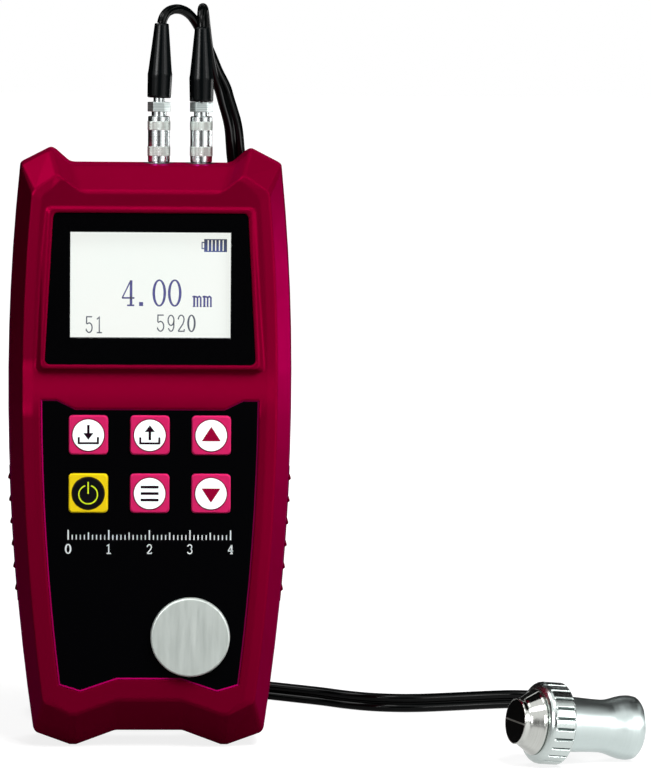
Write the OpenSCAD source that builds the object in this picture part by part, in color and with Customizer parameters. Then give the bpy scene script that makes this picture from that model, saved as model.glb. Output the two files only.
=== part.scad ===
/* [Case outline] */
// Height of the case at its top edge
case_h = 145.1; // [141:0.1:150]
// Half of the case's greatest width
case_half_w = 35.2; // [34.4:0.1:37]
// Height at which the case is widest
belly_z = 90; // [84:1:98]
// Half width lost between the widest point and the shoulders
shoulder_drop = 2.9; // [2.2:0.1:3.4]
// Half width lost between the widest point and the feet
foot_drop = 6.9; // [6:0.1:7.4]
// Depth of the case from front face to back face
case_d = 32; // [31:0.5:35]
// Depth of the front shell
front_shell_d = 19; // [18.5:0.1:19.5]

/* [Ears and feet] */
// How far the ears stand above the top edge
ear_rise = 3.9; // [2.5:0.1:5]
// Distance of an ear's tip from the centre line
ear_tip_x = 24.7; // [23.5:0.1:26]
// Distance of an ear's inner foot from the centre line
ear_foot_x = 20.3; // [19.5:0.1:21]
// Distance of a foot's tip from the centre line
foot_tip_x = 18.8; // [17.5:0.1:20]
// Width of the flat on a foot's tip
foot_flat = 1.6; // [1:0.1:3]
// Height of the hollow between the feet
foot_hollow = 3.6; // [2.5:0.1:4.5]
// Half width of the flat part of that hollow
hollow_half_w = 8.4; // [6:0.1:10]
// Height of the bottom corners
corner_rise = 3.2; // [2.5:0.1:4]

/* [Front bevels] */
// Width of the bevel along each side
bevel_side = 3.9; // [3:0.1:4.5]
// Height of the bevel along the top
bevel_top = 6.3; // [5:0.1:7]
// Height of the bevel along the bottom
bevel_foot = 8.6; // [7:0.1:9.5]
// Depth of the bevels
bevel_d = 6.1; // [5:0.1:7]
// Width of the soft crown between the side bevel and the flat face
crown_side = 2.6; // [1.5:0.1:3]
// Fall of that crown
crown_d = 0.4; // [0.2:0.1:0.6]

/* [Walls] */
// Thickness of the side walls
wall = 2.2; // [1.8:0.1:2.6]
// Thickness of the front face
face_t = 2.2; // [2:0.1:2.6]
// Thickness of the back wall
back_t = 2; // [1.6:0.1:2.4]
// Inset of the flat back face from the outline
back_round = 5; // [3.5:0.1:6]

/* [Display] */
// Half width of the window at its top edge
window_half_top = 23.75; // [23.2:0.05:24.2]
// Half width of the window at its bottom edge
window_half_low = 25.8; // [25:0.05:26.4]
// Height of the window's top edge, as a share of the case's height
window_top_share = 0.9173; // [0.912:0.0001:0.923]
// Height of the window
window_h = 37.05; // [36.2:0.05:37.8]
// Width of the rim round the window
rim_w = 1; // [0.6:0.1:1.2]
// Width of the slope beside the rim
rim_slope = 1.9; // [1:0.1:2.2]
// Height of the rim above the face at the window's top
rim_rise_top = 0.5; // [0.3:0.1:1]
// Height of the rim above the face at the window's bottom
rim_rise_low = 1.2; // [0.8:0.1:1.6]
// Width of the lit area of the display
lcd_w = 39.4; // [36:0.1:40]
// Height of the lit area of the display
lcd_h = 26; // [24:0.1:27]
// Height of the middle of the lit area, as a share of the case's height
lcd_share = 0.796; // [0.792:0.0001:0.8]

/* [Keypad] */
// Height of the top corners of the black panel, as a share of the case's height
panel_top_share = 0.601; // [0.594:0.001:0.606]
// Height of the lower corners of the black panel
panel_low_z = 16.4; // [15.5:0.1:17]
// Distance of the panel's sides from the case's outline
panel_inset = 8.4; // [8:0.1:9.2]
// Thickness of the panel
panel_t = 0.5; // [0.3:0.1:0.6]
// Side of a square key
key_w = 9.7; // [9:0.1:10.5]
// Distance between the columns of keys, as a share of the panel's half width
key_pitch_share = 0.5634; // [0.545:0.0001:0.59]
// Distance between the rows of keys
key_pitch_z = 14.4; // [13.8:0.1:15]
// Sideways place of the middle column
key_mid_x = 0; // [-0.4:0.1:0.4]
// Distance of the upper row of keys below the panel's top corners
key_row_drop = 8.65; // [8.3:0.05:9.5]
// How far a key stands out of the face
key_proud = 0.5; // [0.4:0.1:0.8]
// Travel of a key
key_travel = 0.4; // [0.3:0.05:0.5]

/* [Test block] */
// Radius of the test block
block_r = 9.8; // [9:0.1:10.5]
// Margin between the test block and the panel's right side
block_margin = 3.6; // [3:0.1:4.5]
// Height of the middle of the test block
block_z = 28.5; // [28:0.1:29.5]
// How far the test block stands out of the face
block_proud = 1.6; // [1:0.1:2.5]

/* [Side grips] */
// Number of ribs on each side grip
rib_count = 6; // [4:1:6]
// Distance between the ribs
rib_pitch = 5.56; // [5:0.02:5.8]
// Height of the lowest rib
rib_low_z = 39.1; // [38:0.1:40]
// How far a rib stands out
rib_proud = 0.4; // [0.2:0.05:0.6]

/* [Sockets and plugs] */
// Sideways place of the left socket
socket_x = 1.9; // [1:0.1:2.5]
// Distance between the two sockets
socket_pitch = 10.5; // [10:0.1:11.5]
// Radius of a plug's release sleeve
sleeve_r = 2.72; // [2.6:0.02:2.9]
// Length of a release sleeve
sleeve_len = 11.4; // [10.7:0.1:12]
// Travel of a release sleeve
sleeve_travel = 0.7; // [0.4:0.1:0.8]
// Height of a collet nut
nut_h = 2.4; // [2.2:0.1:2.8]
// Radius of a boot at its shoulder
boot_r = 3.05; // [2.9:0.05:3.3]
// Length of a boot
boot_len = 18.4; // [17.9:0.1:19]
// Lean of the left boot in degrees
boot_lean = 1.8; // [0:0.1:2]

/* [Battery bay] */
// Radius of a cell
cell_r = 7.15; // [7:0.05:7.25]
// Length of a cell with its nub
cell_len = 50.5; // [49.5:0.1:50.8]
// Height of the middle of the battery bay
bay_z = 54.5; // [54:0.1:56]
// Room in the bay for the springs and plates at the cells' ends
spring_room = 6.5; // [6.2:0.1:7.5]
// Thickness of the battery door
door_t = 1.8; // [1.5:0.1:2]
// Margin of the door round the bay
door_margin = 3.5; // [3:0.1:4]

/* [Probe] */
// Radius of the fluted ring
ring_r = 10; // [9.5:0.1:10.5]
// Width of the fluted ring
ring_w = 6.7; // [6:0.1:7.2]
// Number of flutes on the ring
flute_count = 24; // [18:1:30]
// Length of the probe's body behind the ring
body_len = 20.6; // [19:0.1:22]
// Radius of the body behind the ring
body_r = 6.8; // [6.6:0.05:7]
// Radius of the body at its waist
waist_r = 6.45; // [6.3:0.05:6.55]
// Radius of the flared end
flare_r = 7.9; // [7.5:0.1:8.2]
// Radius of the nose at its root
nose_r = 8; // [7.6:0.1:8.1]
// Radius of the nose at its front
nose_front_r = 5.6; // [5.5:0.05:5.8]
// Length of the nose in front of the ring
nose_len = 5.2; // [4.8:0.1:6]
// Angle of the probe on the bench, from the row of sockets
probe_yaw = 20; // [15:1:25]

/* [Lead] */
// Width of the twin lead
lead_w = 4.9; // [4.8:0.05:5]
// Thickness of the twin lead and of each tail
lead_t = 2.4; // [2.3:0.05:2.5]
// Distance between the coil's turns
coil_pitch = 3; // [2.95:0.01:3.05]

/* [Hidden] */

// Facets of a round that others fit
fine = 64;
// Overrun of a cut past the face that it opens
over = 1;
// Gap between fixed pieces that fit
fit = 0.08;
// Radial clearance of a running fit
run_gap = 0.05;

// Planes of the case along its depth
front_y = -case_d / 2;
back_y = case_d / 2;
seam_y = front_y + front_shell_d;
inner_front_y = front_y + face_t;
inner_back_y = back_y - back_t;
bevel_end_y = front_y + crown_d + bevel_d;

// Heights and widths that follow the case
window_top_z = case_h * window_top_share;
window_low_z = window_top_z - window_h;
lcd_z = case_h * lcd_share;
panel_top_z = case_h * panel_top_share;
key_row_z = panel_top_z - key_row_drop;
key_pitch_x = (case_half_w - panel_inset) * key_pitch_share;

// Softened edge behind the bevels, its depth, and the line left at the seam
edge_soft = 0.5;
edge_soft_d = 5.5;
seam_line = 0.25;
crown_end = 1;

// Roundings of the outline's corners
ear_foot_r = 4;
ear_tip_r = 1.3;
shoulder_r = 1;
corner_r = 1.4;
hollow_r = 3;
// How much of an inset each corner of the outline follows sideways
ear_foot_share = 0.6;
ear_tip_share = 0.5;
corner_share = 0.75;
hollow_share = 0.1;
// Straight left beside the shoulder and the bottom corner, and points along a side
side_margin = 1.2;
side_steps = 14;

function unit(v) = v / norm(v);
function mix(a, b, k) = a * (1 - k) + b * k;

// Half width of the case at a height
function half_w(z) = z > belly_z
    ? case_half_w - shoulder_drop * pow((z - belly_z) / (case_h - belly_z), 2)
    : case_half_w - foot_drop * pow((belly_z - z) / belly_z, 2);
block_x = half_w(block_z) - panel_inset - block_margin - block_r;

// Arc that rounds the corner b between a and c
function corner(a, b, c, r, steps) =
    let (u = unit(a - b), w = unit(c - b), half = acos(u * w) / 2, m = b + unit(u + w) * r / sin(half),
        s = b + u * r / tan(half) - m, e = b + w * r / tan(half) - m, turn = 180 - 2 * half)
    [for (i = [0 : steps]) m + (s * sin(turn * (1 - i / steps)) + e * sin(turn * i / steps)) / sin(turn)];

// Right half of the case's outline, from the top edge down, drawn in by three insets
function right_half(side, top, foot) =
    let (z_top = case_h - top,
        ear_foot = [ear_foot_x - side * ear_foot_share, z_top],
        ear_tip = [ear_tip_x - side * ear_tip_share, z_top + ear_rise],
        shoulder = [half_w(case_h) - side, z_top],
        z_high = z_top - side_margin,
        z_low = corner_rise + foot + side_margin,
        low = [half_w(corner_rise) - side * corner_share, corner_rise + foot],
        tip_out = [foot_tip_x + foot_flat / 2, foot],
        tip_in = [foot_tip_x - foot_flat / 2, foot],
        hollow = [hollow_half_w - side * hollow_share, foot_hollow + foot])
    concat(
        corner([0, z_top], ear_foot, ear_tip, ear_foot_r, 4),
        corner(ear_foot, ear_tip, shoulder, ear_tip_r, 4),
        corner(ear_tip, shoulder, [half_w(z_high) - side, z_high], shoulder_r, 3),
        [for (i = [0 : side_steps]) let (z = mix(z_high, z_low, i / side_steps)) [half_w(z) - side, z]],
        corner([half_w(z_low) - side, z_low], low, tip_out, corner_r, 3),
        [tip_out, tip_in],
        corner(tip_in, hollow, [0, foot_hollow + foot], hollow_r, 3));

// A right half and its mirror image as one closed outline
function both_halves(half) = concat(half,
    [for (i = [len(half) - 1 : -1 : 0]) [-half[i][0], half[i][1]]]);
function case_outline(side, top, foot) = both_halves(right_half(side, top, foot));

// An outline stood up in the plane y
function stand(outline, y) = [for (p = outline) [p[0], y, p[1]]];

// Trapezoid with rounded corners, from its top right corner clockwise
function trapezoid(half_top, half_low, top, low, r) =
    let (c = [[half_top, top], [half_low, low], [-half_low, low], [-half_top, top]])
    [for (i = [0 : 3]) each corner(c[(i + 3) % 4], c[i], c[(i + 1) % 4], r, 4)];
function rounded_box(w, h, r) = trapezoid(w / 2, w / 2, h / 2, -h / 2, r);

// Solid through a list of rings with as many points each
module skin(rings) {
    m = len(rings[0]);
    n = len(rings);
    polyhedron(
        points = [for (ring = rings) each ring],
        faces = concat(
            [[for (j = [0 : m - 1]) j]],
            [[for (j = [m - 1 : -1 : 0]) (n - 1) * m + j]],
            [for (i = [0 : n - 2], j = [0 : m - 1])
                [i * m + j, (i + 1) * m + (j + 1) % m, i * m + (j + 1) % m]],
            [for (i = [0 : n - 2], j = [0 : m - 1])
                [i * m + j, (i + 1) * m + j, (i + 1) * m + (j + 1) % m]]),
        convexity = 10);
}

// A flat shape in X and Z made solid between two depths
module slab(y_front, y_back) {
    translate([0, y_back, 0]) rotate([90, 0, 0]) linear_extrude(y_back - y_front) children();
}

// A rod along the depth of the case
module rod(x, z, r, y_front, y_back) {
    translate([x, y_back, z]) rotate([90, 0, 0]) cylinder(r = r, h = y_back - y_front, $fn = fine);
}

module block(x0, x1, y0, y1, z0, z1) {
    translate([x0, y0, z0]) cube([x1 - x0, y1 - y0, z1 - z0]);
}

// Screws that close the case: places, radii and depths
screw_r = 1.2;
screw_head_r = 2.2;
screw_head_h = 1.8;
screw_bite = 8;
post_r = 3.25;
post_floor = 4;
top_screw_inset = 11.7;
top_screw_drop = 9.4;
low_screw_inset = 14.7;
low_screw_z = 14.5;
case_screw_places = [for (s = [-1, 1]) each
    [[s * (case_half_w - top_screw_inset), case_h - top_screw_drop],
        [s * (case_half_w - low_screw_inset), low_screw_z]]];

// Rim round the window, which leans a little with its height
window_seat = 1.4;
window_sink = 0.25;
window_gap = 0.1;
window_r = 1.2;
rim_end_slope = 1.3;
rim_root = 0.5;
function rim_y(z) = front_y
    - mix(rim_rise_low, rim_rise_top, (z - window_low_z) / (window_top_z - window_low_z));
function window_outline(grow_side, grow_end) = trapezoid(window_half_top + grow_side,
    window_half_low + grow_side, window_top_z + grow_end, window_low_z - grow_end, window_r);
function lean(outline, sink) = [for (p = outline) [p[0], rim_y(p[1]) + sink, p[1]]];

// Display stack behind the window
lcd_margin_w = 6;
lcd_margin_h = 6.4;
lcd_t = 1.65;
stack_gap = 0.1;
light_t = 2.5;
light_margin = 2;
board_t = 1.6;
lcd_front_y = inner_front_y + stack_gap;
light_front_y = lcd_front_y + lcd_t + fit;
board_front_y = light_front_y + light_t + fit;
board_back_y = board_front_y + board_t;

// Black panel on the face
panel_dip = 2.2;
panel_dip_inset = 16.9;
panel_horn_inset = 12.4;
panel_toe_inset = 18.3;
panel_toe = 1.6;
panel_arch_x = 7.9;
panel_arch = 1.5;
panel_sink = 0.1;
panel_steps = 8;
panel_half = concat(
    [[case_half_w - panel_dip_inset, panel_top_z - panel_dip],
        [case_half_w - panel_horn_inset, panel_top_z]],
    [for (i = [0 : panel_steps]) let (z = mix(panel_top_z, panel_low_z, i / panel_steps))
        [half_w(z) - panel_inset, z]],
    [[case_half_w - panel_toe_inset, panel_low_z - panel_toe],
        [panel_arch_x, panel_low_z + panel_arch]]);

// Keys and what they press
key_r = 1;
key_gap = 0.12;
key_edge = 0.25;
key_disc_r = 3.95;
key_disc_t = 0.12;
flange_grow = 0.8;
flange_t = 0.8;
stem_r = 1.6;
dome_r = 3.2;
dome_h = 0.9;
dome_gap = 0.05;
key_columns = [-1, 0, 1];
key_rows = [0, -1];
function key_place(column, row) = [key_mid_x + column * key_pitch_x, key_row_z + row * key_pitch_z];

// Board, its posts and what stands on it
board_low_z = 18.4;
board_top_gap = 4.1;
board_top_inset = 9.2;
board_low_inset = 11.7;
board_half_top = case_half_w - board_top_inset;
board_half_low = case_half_w - board_low_inset;
board_post_r = 2.6;
board_screw_r = 0.9;
board_screw_head_r = 1.9;
board_screw_head_h = 1.2;
board_screw_bite = 3;
board_screw_inset = 11.5;
board_screw_shares = [0.634, 0.31];
board_screw_places = [for (share = board_screw_shares) let (z = case_h * share)
    each [[board_screw_inset - half_w(z), z], [half_w(z) - board_screw_inset, z]]];
board_top_z = case_h - top_screw_drop - board_top_gap;
chip_h = 1.4;
buzzer_inset = 11;
buzzer_x = buzzer_inset - board_half_top;
buzzer_share = 0.88;
buzzer_z = mix(board_low_z, board_top_z, buzzer_share);
buzzer_r = 4.6;
buzzer_h = 3;
buzzer_hole_r = 1;

// Chips: widths and heights, and places as shares of the board's half width and height
chip_sizes = [[12, 12], [8, 10], [7, 9], [10, 7]];
chip_shares = [[0.08, 0.83], [0.54, 0.7], [-0.62, 0.37], [0.54, 0.16]];

// Test block
block_edge = 0.35;
block_flange = 1.2;
block_flange_t = 1.5;

// Side grips
grip_t = 1.2;
grip_d = 7.5;
grip_back = 1.5;
grip_margin = 3;
rib_half = 0.5;
rib_top_half = 0.2;
grip_low_z = rib_low_z - grip_margin;
grip_high_z = rib_low_z + (rib_count - 1) * rib_pitch + grip_margin;
grip_steps = 8;

// Sockets in the top wall
socket_y = seam_y - 5;
socket_r = 3.4;
socket_flange_r = 4;
socket_flange_h = 0.8;
socket_len = 12;
socket_bore_r = 2.32;
socket_bore_len = 9;
socket_nut_r = 4.6;
socket_nut_h = 2.4;
socket_pin_r = 0.5;
top_wall = wall + edge_soft;

// Plugs, from the case's top edge up
plug_gap = 0.15;
nose_pin_r = 2.25;
nose_pin_len = 7;
nose_bore_r = 1.4;
nose_bore_len = 5;
core_r = 1.85;
band_r = 2.8;
band_teeth = 24;
band_groove = 0.1;
low_band_z = 1.6;
low_band_h = 2.3;
high_band_z = 8;
high_band_h = 2.1;
sleeve_z = case_h + plug_gap;
sleeve_edge = 0.2;
nut_z = sleeve_z + sleeve_len + sleeve_travel + 2 * sleeve_edge;
nut_r = 2.85;
spigot_r = 1.4;
spigot_len = 3;
boot_bore_r = 1.55;
boot_bore_len = 3.8;
boot_gap = 0.1;
boot_lift = 0.9;
boot_base_r = 2.93;
boot_tip_r = 1.65;
boot_neck_share = 0.1;
boot_skirt = 5.7;

// Battery bay, its door and its contacts
cell_gap = 0.35;
cell_nub_r = 2.7;
cell_nub_h = 1;
cell_y = back_y - door_t - cell_gap - cell_r;
bay_len = cell_len + spring_room;
bay_half_w = 2 * cell_r + 2 * cell_gap;
bay_floor_y = cell_y - cell_r - cell_gap;
bay_wall = 1.5;
frame_d = 2;
frame_margin = 2;
door_gap = 0.2;
door_r = 3;
door_rib_count = 5;
door_rib_pitch = 2.2;
door_rib_h = 0.35;
door_rib_w = 1.1;
door_rib_drop = 6;
door_half_w = bay_half_w + door_margin;
door_len = bay_len + 2 * door_margin;
scoop_r = 6;
scoop_d = 1;
plate_t = 0.4;
plate_w = 9;
spring_wire = 0.7;
spring_r_low = 4.2;
spring_r_top = 2.6;
spring_turns = 4;
spring_steps = 12;
spring_sides = 6;
spring_seat_share = 0.4;
bay_low_z = bay_z - bay_len / 2;
bay_top_z = bay_z + bay_len / 2;
spring_len = bay_len - cell_len - 2 * plate_t - 4 * fit;
cell_x = cell_r + cell_gap / 2;

// Probe: along its axis from the ring's back face, with the nose ahead
ring_edge = 0.4;
ring_round = 1.9;
ring_round_step = 18;
flute_r = 0.35;
flute_end = 5.4;
ring_play = 0.15;
spigot_bore_r = 5.2;
probe_spigot_r = 5.95;
body_bore_len = 7;
flare_touch = 18.6;
flare_start = -11;
flare_edge = 0.7;
waist_steps = 5;
nose_step = 1.5;
nose_cone = 3.3;
nose_lip = 0.35;
line_r = 5.12;
line_root = 3.2;
line_proud = 0.15;
barrier_t = 0.4;
barrier_gap = 0.02;
crystal_t = 0.8;
backing_gap = 0.1;
probe_x = 100.1;
probe_y = -33.5;
probe_tilt = atan((ring_r - flare_r) / (flare_touch + ring_edge));
probe_z = ring_r * cos(probe_tilt) - ring_edge * sin(probe_tilt);
probe_end = ring_w + nose_len;

// Strain relief in the probe's side
relief_back = 10;
relief_stem_r = 2.4;
relief_root = 3.6;
relief_base = 6.9;
relief_boss_r = 3.8;
relief_collar = 1.5;
relief_r = 3.4;
relief_tip_r = 2.8;
relief_reach = 20.5;
relief_groove = 0.35;
relief_groove_share = 0.35;
relief_grooves = 4;

module on_probe() {
    translate([probe_x, probe_y, probe_z]) rotate([0, 90 - probe_tilt, 180 + probe_yaw]) children();
}
probe_axis = [-cos(probe_yaw) * cos(probe_tilt), -sin(probe_yaw) * cos(probe_tilt), sin(probe_tilt)];
relief_axis = [-sin(probe_yaw), cos(probe_yaw), 0];
relief_end = [probe_x, probe_y, probe_z] - probe_axis * relief_back + relief_axis * relief_reach;

// Ring of a section set square to t at p, with its width along the hint
function ring_at(p, t, hint, section) =
    let (s = unit(hint - (hint * t) * t), n = cross(s, t)) [for (q = section) p + q[0] * s + q[1] * n];

// Directions along a route, between given first and last ones
function headings(route, first, last) = let (n = len(route) - 1)
    [for (i = [0 : n]) i == 0 ? unit(first) : i == n ? unit(last)
        : unit(unit(route[i + 1] - route[i]) + unit(route[i] - route[i - 1]))];

// Tube of one section along a route
module sweep(route, hints, section, first, last) {
    t = headings(route, first, last);
    skin([for (i = [0 : len(route) - 1]) ring_at(route[i], t[i], hints[i], section)]);
}

// Sections of a tail and of the twin lead
waist_share = 0.55;
tail_sides = 8;
tail_section = [for (i = [0 : tail_sides - 1])
    let (a = -i * 360 / tail_sides) [cos(a), sin(a)] * lead_t / 2];
twin_section = [[lead_w / 2, 0], [lead_w / 4, -lead_t / 2], [0, -lead_t * waist_share / 2],
    [-lead_w / 4, -lead_t / 2], [-lead_w / 2, 0], [-lead_w / 4, lead_t / 2],
    [0, lead_t * waist_share / 2], [lead_w / 4, lead_t / 2]];

// Tips of the boots
right_x = socket_x + socket_pitch;
right_boot_z = nut_z + nut_h + boot_gap;
left_boot_z = right_boot_z + boot_lift;
left_tip = [socket_x + boot_len * sin(boot_lean), socket_y, left_boot_z + boot_len * cos(boot_lean)];
right_tip = [right_x, socket_y, right_boot_z + boot_len];

// Where the tails join as the twin lead, and its direction and width there
join = [18.4, 16, 162];
join_way = [0.24, 0.18, -0.95];
join_width = [0.8, 0.6, 0];
join_side = unit(join_width - (join_width * unit(join_way)) * unit(join_way)) * lead_w / 4;

// Routes of the tails, in millimetres
tail_left_route = concat([left_tip], [[2.8, -1.8, 180.8], [3.5, -1, 182], [4.9, 0.6, 182.9],
    [6.7, 2.8, 183.1], [8.5, 5.2, 182.5], [10.2, 7.6, 181], [11.7, 9.8, 178.7],
    [13.2, 11.9, 175.8], [14.9, 13.7, 172.2], [16.7, 15.2, 168]], [join + join_side]);
tail_right_route = concat([right_tip], [[12.4, -1.7, 180.2], [12.4, -0.8, 181.7], [12.5, 0.5, 182.8],
    [12.6, 2.1, 183.4], [12.8, 3.9, 183.4], [13, 5.5, 182.8], [13.2, 6.9, 181.6], [13.4, 7.8, 180],
    [13.9, 9.2, 176], [14.6, 11.1, 171.6], [15.7, 13.4, 166.8]], [join - join_side]);

// Coil behind the case: middle, first radius, angles of travel, steps a turn and heights
coil_mid = [-0.5, 48];
coil_r = 18.4;
coil_from = -70;
coil_turns = 3.65;
coil_steps = 24;
coil_entry_z = 7.9;
coil_entry_turn = 100;
ground_z = lead_w / 2;
coil_count = round(coil_turns * coil_steps);
function ease(k) = k >= 1 ? 1 : k * k * (3 - 2 * k);
function coil_point(k) = let (a = k * 360 * coil_turns, r = coil_r + coil_pitch * coil_turns * k)
    [coil_mid[0] + r * cos(coil_from - a), coil_mid[1] + r * sin(coil_from - a),
        mix(coil_entry_z, ground_z, ease(a / coil_entry_turn))];
function coil_way(k) = let (a = coil_from - k * 360 * coil_turns) [sin(a), -cos(a), 0];
coil_route = [for (i = [0 : coil_count]) coil_point(i / coil_count)];
coil_start = coil_route[0];
coil_end = coil_route[coil_count];

// Route of the twin lead down behind the case, with the way that its width faces
drop_route = concat([join], [[20.7, 17.5, 153.8], [21.4, 18.5, 147], [22.4, 19.4, 139],
    [23.4, 20.3, 130], [24.3, 21, 120], [25, 21.6, 109], [25.6, 22.1, 98], [26, 22.5, 87],
    [26.3, 22.8, 76], [26.5, 23, 65], [26.5, 23.2, 54], [26.5, 23.4, 43], [26.5, 23.6, 33],
    [26.4, 24, 24], [24.2, 26.3, 14.4], [20, 29.6, 9.4], [15.3, 31.8, 8], [11, 32.3, 7.9]],
    [coil_start]);
drop_hints = [join_width, [0.9, 0.4, 0], [1, 0.2, 0], [1, 0, 0], [1, 0, 0], [1, 0, 0], [1, 0, 0],
    [1, 0, 0], [1, 0, 0], [1, 0, 0], [1, 0, 0], [1, 0, 0], [1, 0, 0], [1, 0, 0], [1, 0, 0],
    [0.9, 0, -0.4], [0.5, 0, -0.8], [0, 0, -1], [0, 0, -1], [0, 0, -1]];

// Route of the twin lead along the bench to the probe
run_route = concat([coil_end], [[24, 67.2, 2.45], [31.4, 62.1, 2.45], [39.2, 56.8, 2.45],
    [46.4, 51.7, 2.45], [52, 47, 2.45], [57.8, 43.5, 2.45], [64.6, 41.7, 2.45], [71.2, 41.8, 2.45],
    [78, 43.4, 2.45], [84.6, 45.3, 2.45], [91, 47.1, 2.45], [96.5, 48, 2.45], [101.5, 47, 2.45],
    [105.5, 43.5, 2.45], [107.3, 38.4, 2.45], [107.3, 32.2, 2.45], [106.1, 25.8, 2.45],
    [104.3, 19, 2.6], [102.3, 12.2, 3.7], [100.7, 5.4, 5.6], [100.1, -0.9, 7.6], [100.8, -6.2, 8.6]],
    [relief_end]);

// Keeps what lies between two depths
module between(y_front, y_back) {
    intersection() {
        children();
        block(-case_d - case_half_w, case_d + case_half_w, y_front, y_back, -case_d, case_h + case_d);
    }
}

// Outlines drawn in alike all round
function inset_outline(inset) = case_outline(inset, inset, inset);

module front_body() {
    past = 1.5;
    between(front_y, seam_y) skin([
        stand(case_outline(bevel_side + past * crown_side, bevel_top + past * crown_end,
            bevel_foot + past * crown_end), mix(front_y + crown_d, front_y, past)),
        stand(case_outline(bevel_side, bevel_top, bevel_foot), front_y + crown_d),
        stand(inset_outline(edge_soft), bevel_end_y),
        stand(inset_outline(0), bevel_end_y + edge_soft_d),
        stand(inset_outline(0), seam_y - seam_line),
        stand(inset_outline(2 * seam_line), seam_y + seam_line)]);
}

module front_cavity() {
    inset = wall + edge_soft;
    past = 0.8;
    between(inner_front_y, seam_y + over) skin([
        stand(case_outline(bevel_side + wall - edge_soft + past, bevel_top + wall - crown_end + past,
            bevel_foot + wall - crown_end + past), inner_front_y - past),
        stand(case_outline(bevel_side + wall - edge_soft, bevel_top + wall - crown_end,
            bevel_foot + wall - crown_end), inner_front_y),
        stand(inset_outline(inset), bevel_end_y + 2 * crown_d),
        stand(inset_outline(inset), seam_y + 2 * over)]);
}

module rear_body() {
    soft = wall;
    turn_y = back_y - edge_soft - seam_line;
    between(seam_y + fit, back_y) skin([
        stand(inset_outline(2 * seam_line), seam_y + fit - seam_line),
        stand(inset_outline(0), seam_y + fit + seam_line),
        stand(inset_outline(edge_soft), back_y - back_round + soft - edge_soft),
        stand(inset_outline(soft), turn_y),
        stand(inset_outline(mix(soft, back_round, 1.5)), mix(turn_y, back_y, 1.5))]);
}

module rear_cavity() {
    inset = wall + edge_soft;
    floor_inset = back_round + edge_soft;
    between(seam_y - over, inner_back_y) skin([
        stand(inset_outline(inset), seam_y - 2 * over),
        stand(inset_outline(inset), inner_back_y - back_t),
        stand(inset_outline(mix(inset, floor_inset, 1.5)),
            mix(inner_back_y - back_t, inner_back_y, 1.5))]);
}

// The raised rim that the display window sits in
module window_rim() {
    skin([
        lean(window_outline(rim_w, rim_w), 0),
        stand(window_outline(rim_w + rim_slope, rim_w + rim_end_slope), front_y + rim_root)]);
}

module grip_cut() {
    slab(seam_y - grip_back - grip_d - fit, seam_y - grip_back + fit) polygon(concat(
        [for (i = [0 : grip_steps]) let (z = mix(grip_low_z - fit, grip_high_z + fit, i / grip_steps))
            [half_w(z) - grip_t - fit, z]],
        [[case_half_w + over, grip_high_z + fit], [case_half_w + over, grip_low_z - fit]]));
}

module socket_cut(i) {
    translate([socket_x + i * socket_pitch, socket_y, 0]) {
        translate([0, 0, case_h - socket_len])
            cylinder(r = socket_r + fit, h = socket_len + over, $fn = fine);
        translate([0, 0, case_h - socket_flange_h - fit])
            cylinder(r = socket_flange_r + fit, h = socket_flange_h + 2 * over, $fn = fine);
    }
}

module key_cuts(gap, y_front, y_back) {
    for (c = key_columns, r = key_rows) let (p = key_place(c, r))
        slab(y_front, y_back) translate(p)
            polygon(rounded_box(key_w + 2 * gap, key_w + 2 * gap, key_r + gap));
}

module front_shell() {
    color([0.52, 0.02, 0.16]) difference() {
        union() {
            difference() {
                front_body();
                front_cavity();
            }
            window_rim();
            for (p = case_screw_places) rod(p[0], p[1], post_r, inner_front_y - over, seam_y);
            for (p = board_screw_places) {
                rod(p[0], p[1], board_post_r, inner_front_y - over, board_front_y - fit);
            }
        }
        slab(front_y - rim_rise_low - over, front_y + window_seat)
            polygon(window_outline(window_gap, window_gap));
        slab(front_y, inner_front_y + over) translate([0, lcd_z])
            square([lcd_w + light_margin, lcd_h + light_margin], center = true);
        slab(front_y - over, front_y + panel_sink + panel_t)
            polygon(both_halves([for (p = panel_half) p + [fit, 0]]));
        key_cuts(key_gap, front_y - over, inner_front_y + over);
        rod(block_x, block_z, block_r + fit, front_y - over, inner_front_y + over);
        for (s = [0, 1]) mirror([s, 0, 0]) grip_cut();
        for (i = [0, 1]) socket_cut(i);
        for (p = case_screw_places) {
            rod(p[0], p[1], screw_r + fit, seam_y - screw_bite - over, seam_y + over);
        }
        for (p = board_screw_places) {
            rod(p[0], p[1], board_screw_r + fit, board_front_y - board_screw_bite - fit,
                board_front_y + over);
        }
    }
}

module rear_shell() {
    color([0.48, 0.02, 0.15]) difference() {
        union() {
            difference() {
                rear_body();
                rear_cavity();
            }
            for (p = case_screw_places) rod(p[0], p[1], post_r, seam_y + fit, inner_back_y + over);
            block(-bay_half_w - bay_wall, bay_half_w + bay_wall, bay_floor_y - bay_wall,
                inner_back_y + over, bay_low_z - bay_wall, bay_top_z + bay_wall);
            translate([0, 0, bay_z]) slab(back_y - door_t - frame_d, inner_back_y + over)
                polygon(rounded_box(2 * (door_half_w + frame_margin), door_len + 2 * frame_margin, door_r));
        }
        block(-bay_half_w, bay_half_w, bay_floor_y, back_y + over, bay_low_z, bay_top_z);
        translate([0, 0, bay_z]) slab(back_y - door_t - door_gap, back_y + over)
            polygon(rounded_box(2 * (door_half_w + door_gap), door_len + 2 * door_gap, door_r));
        for (p = case_screw_places) {
            rod(p[0], p[1], screw_r + fit, seam_y - over, back_y + over);
            rod(p[0], p[1], screw_head_r + fit, back_y - post_floor - fit, back_y + over);
        }
    }
}

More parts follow.
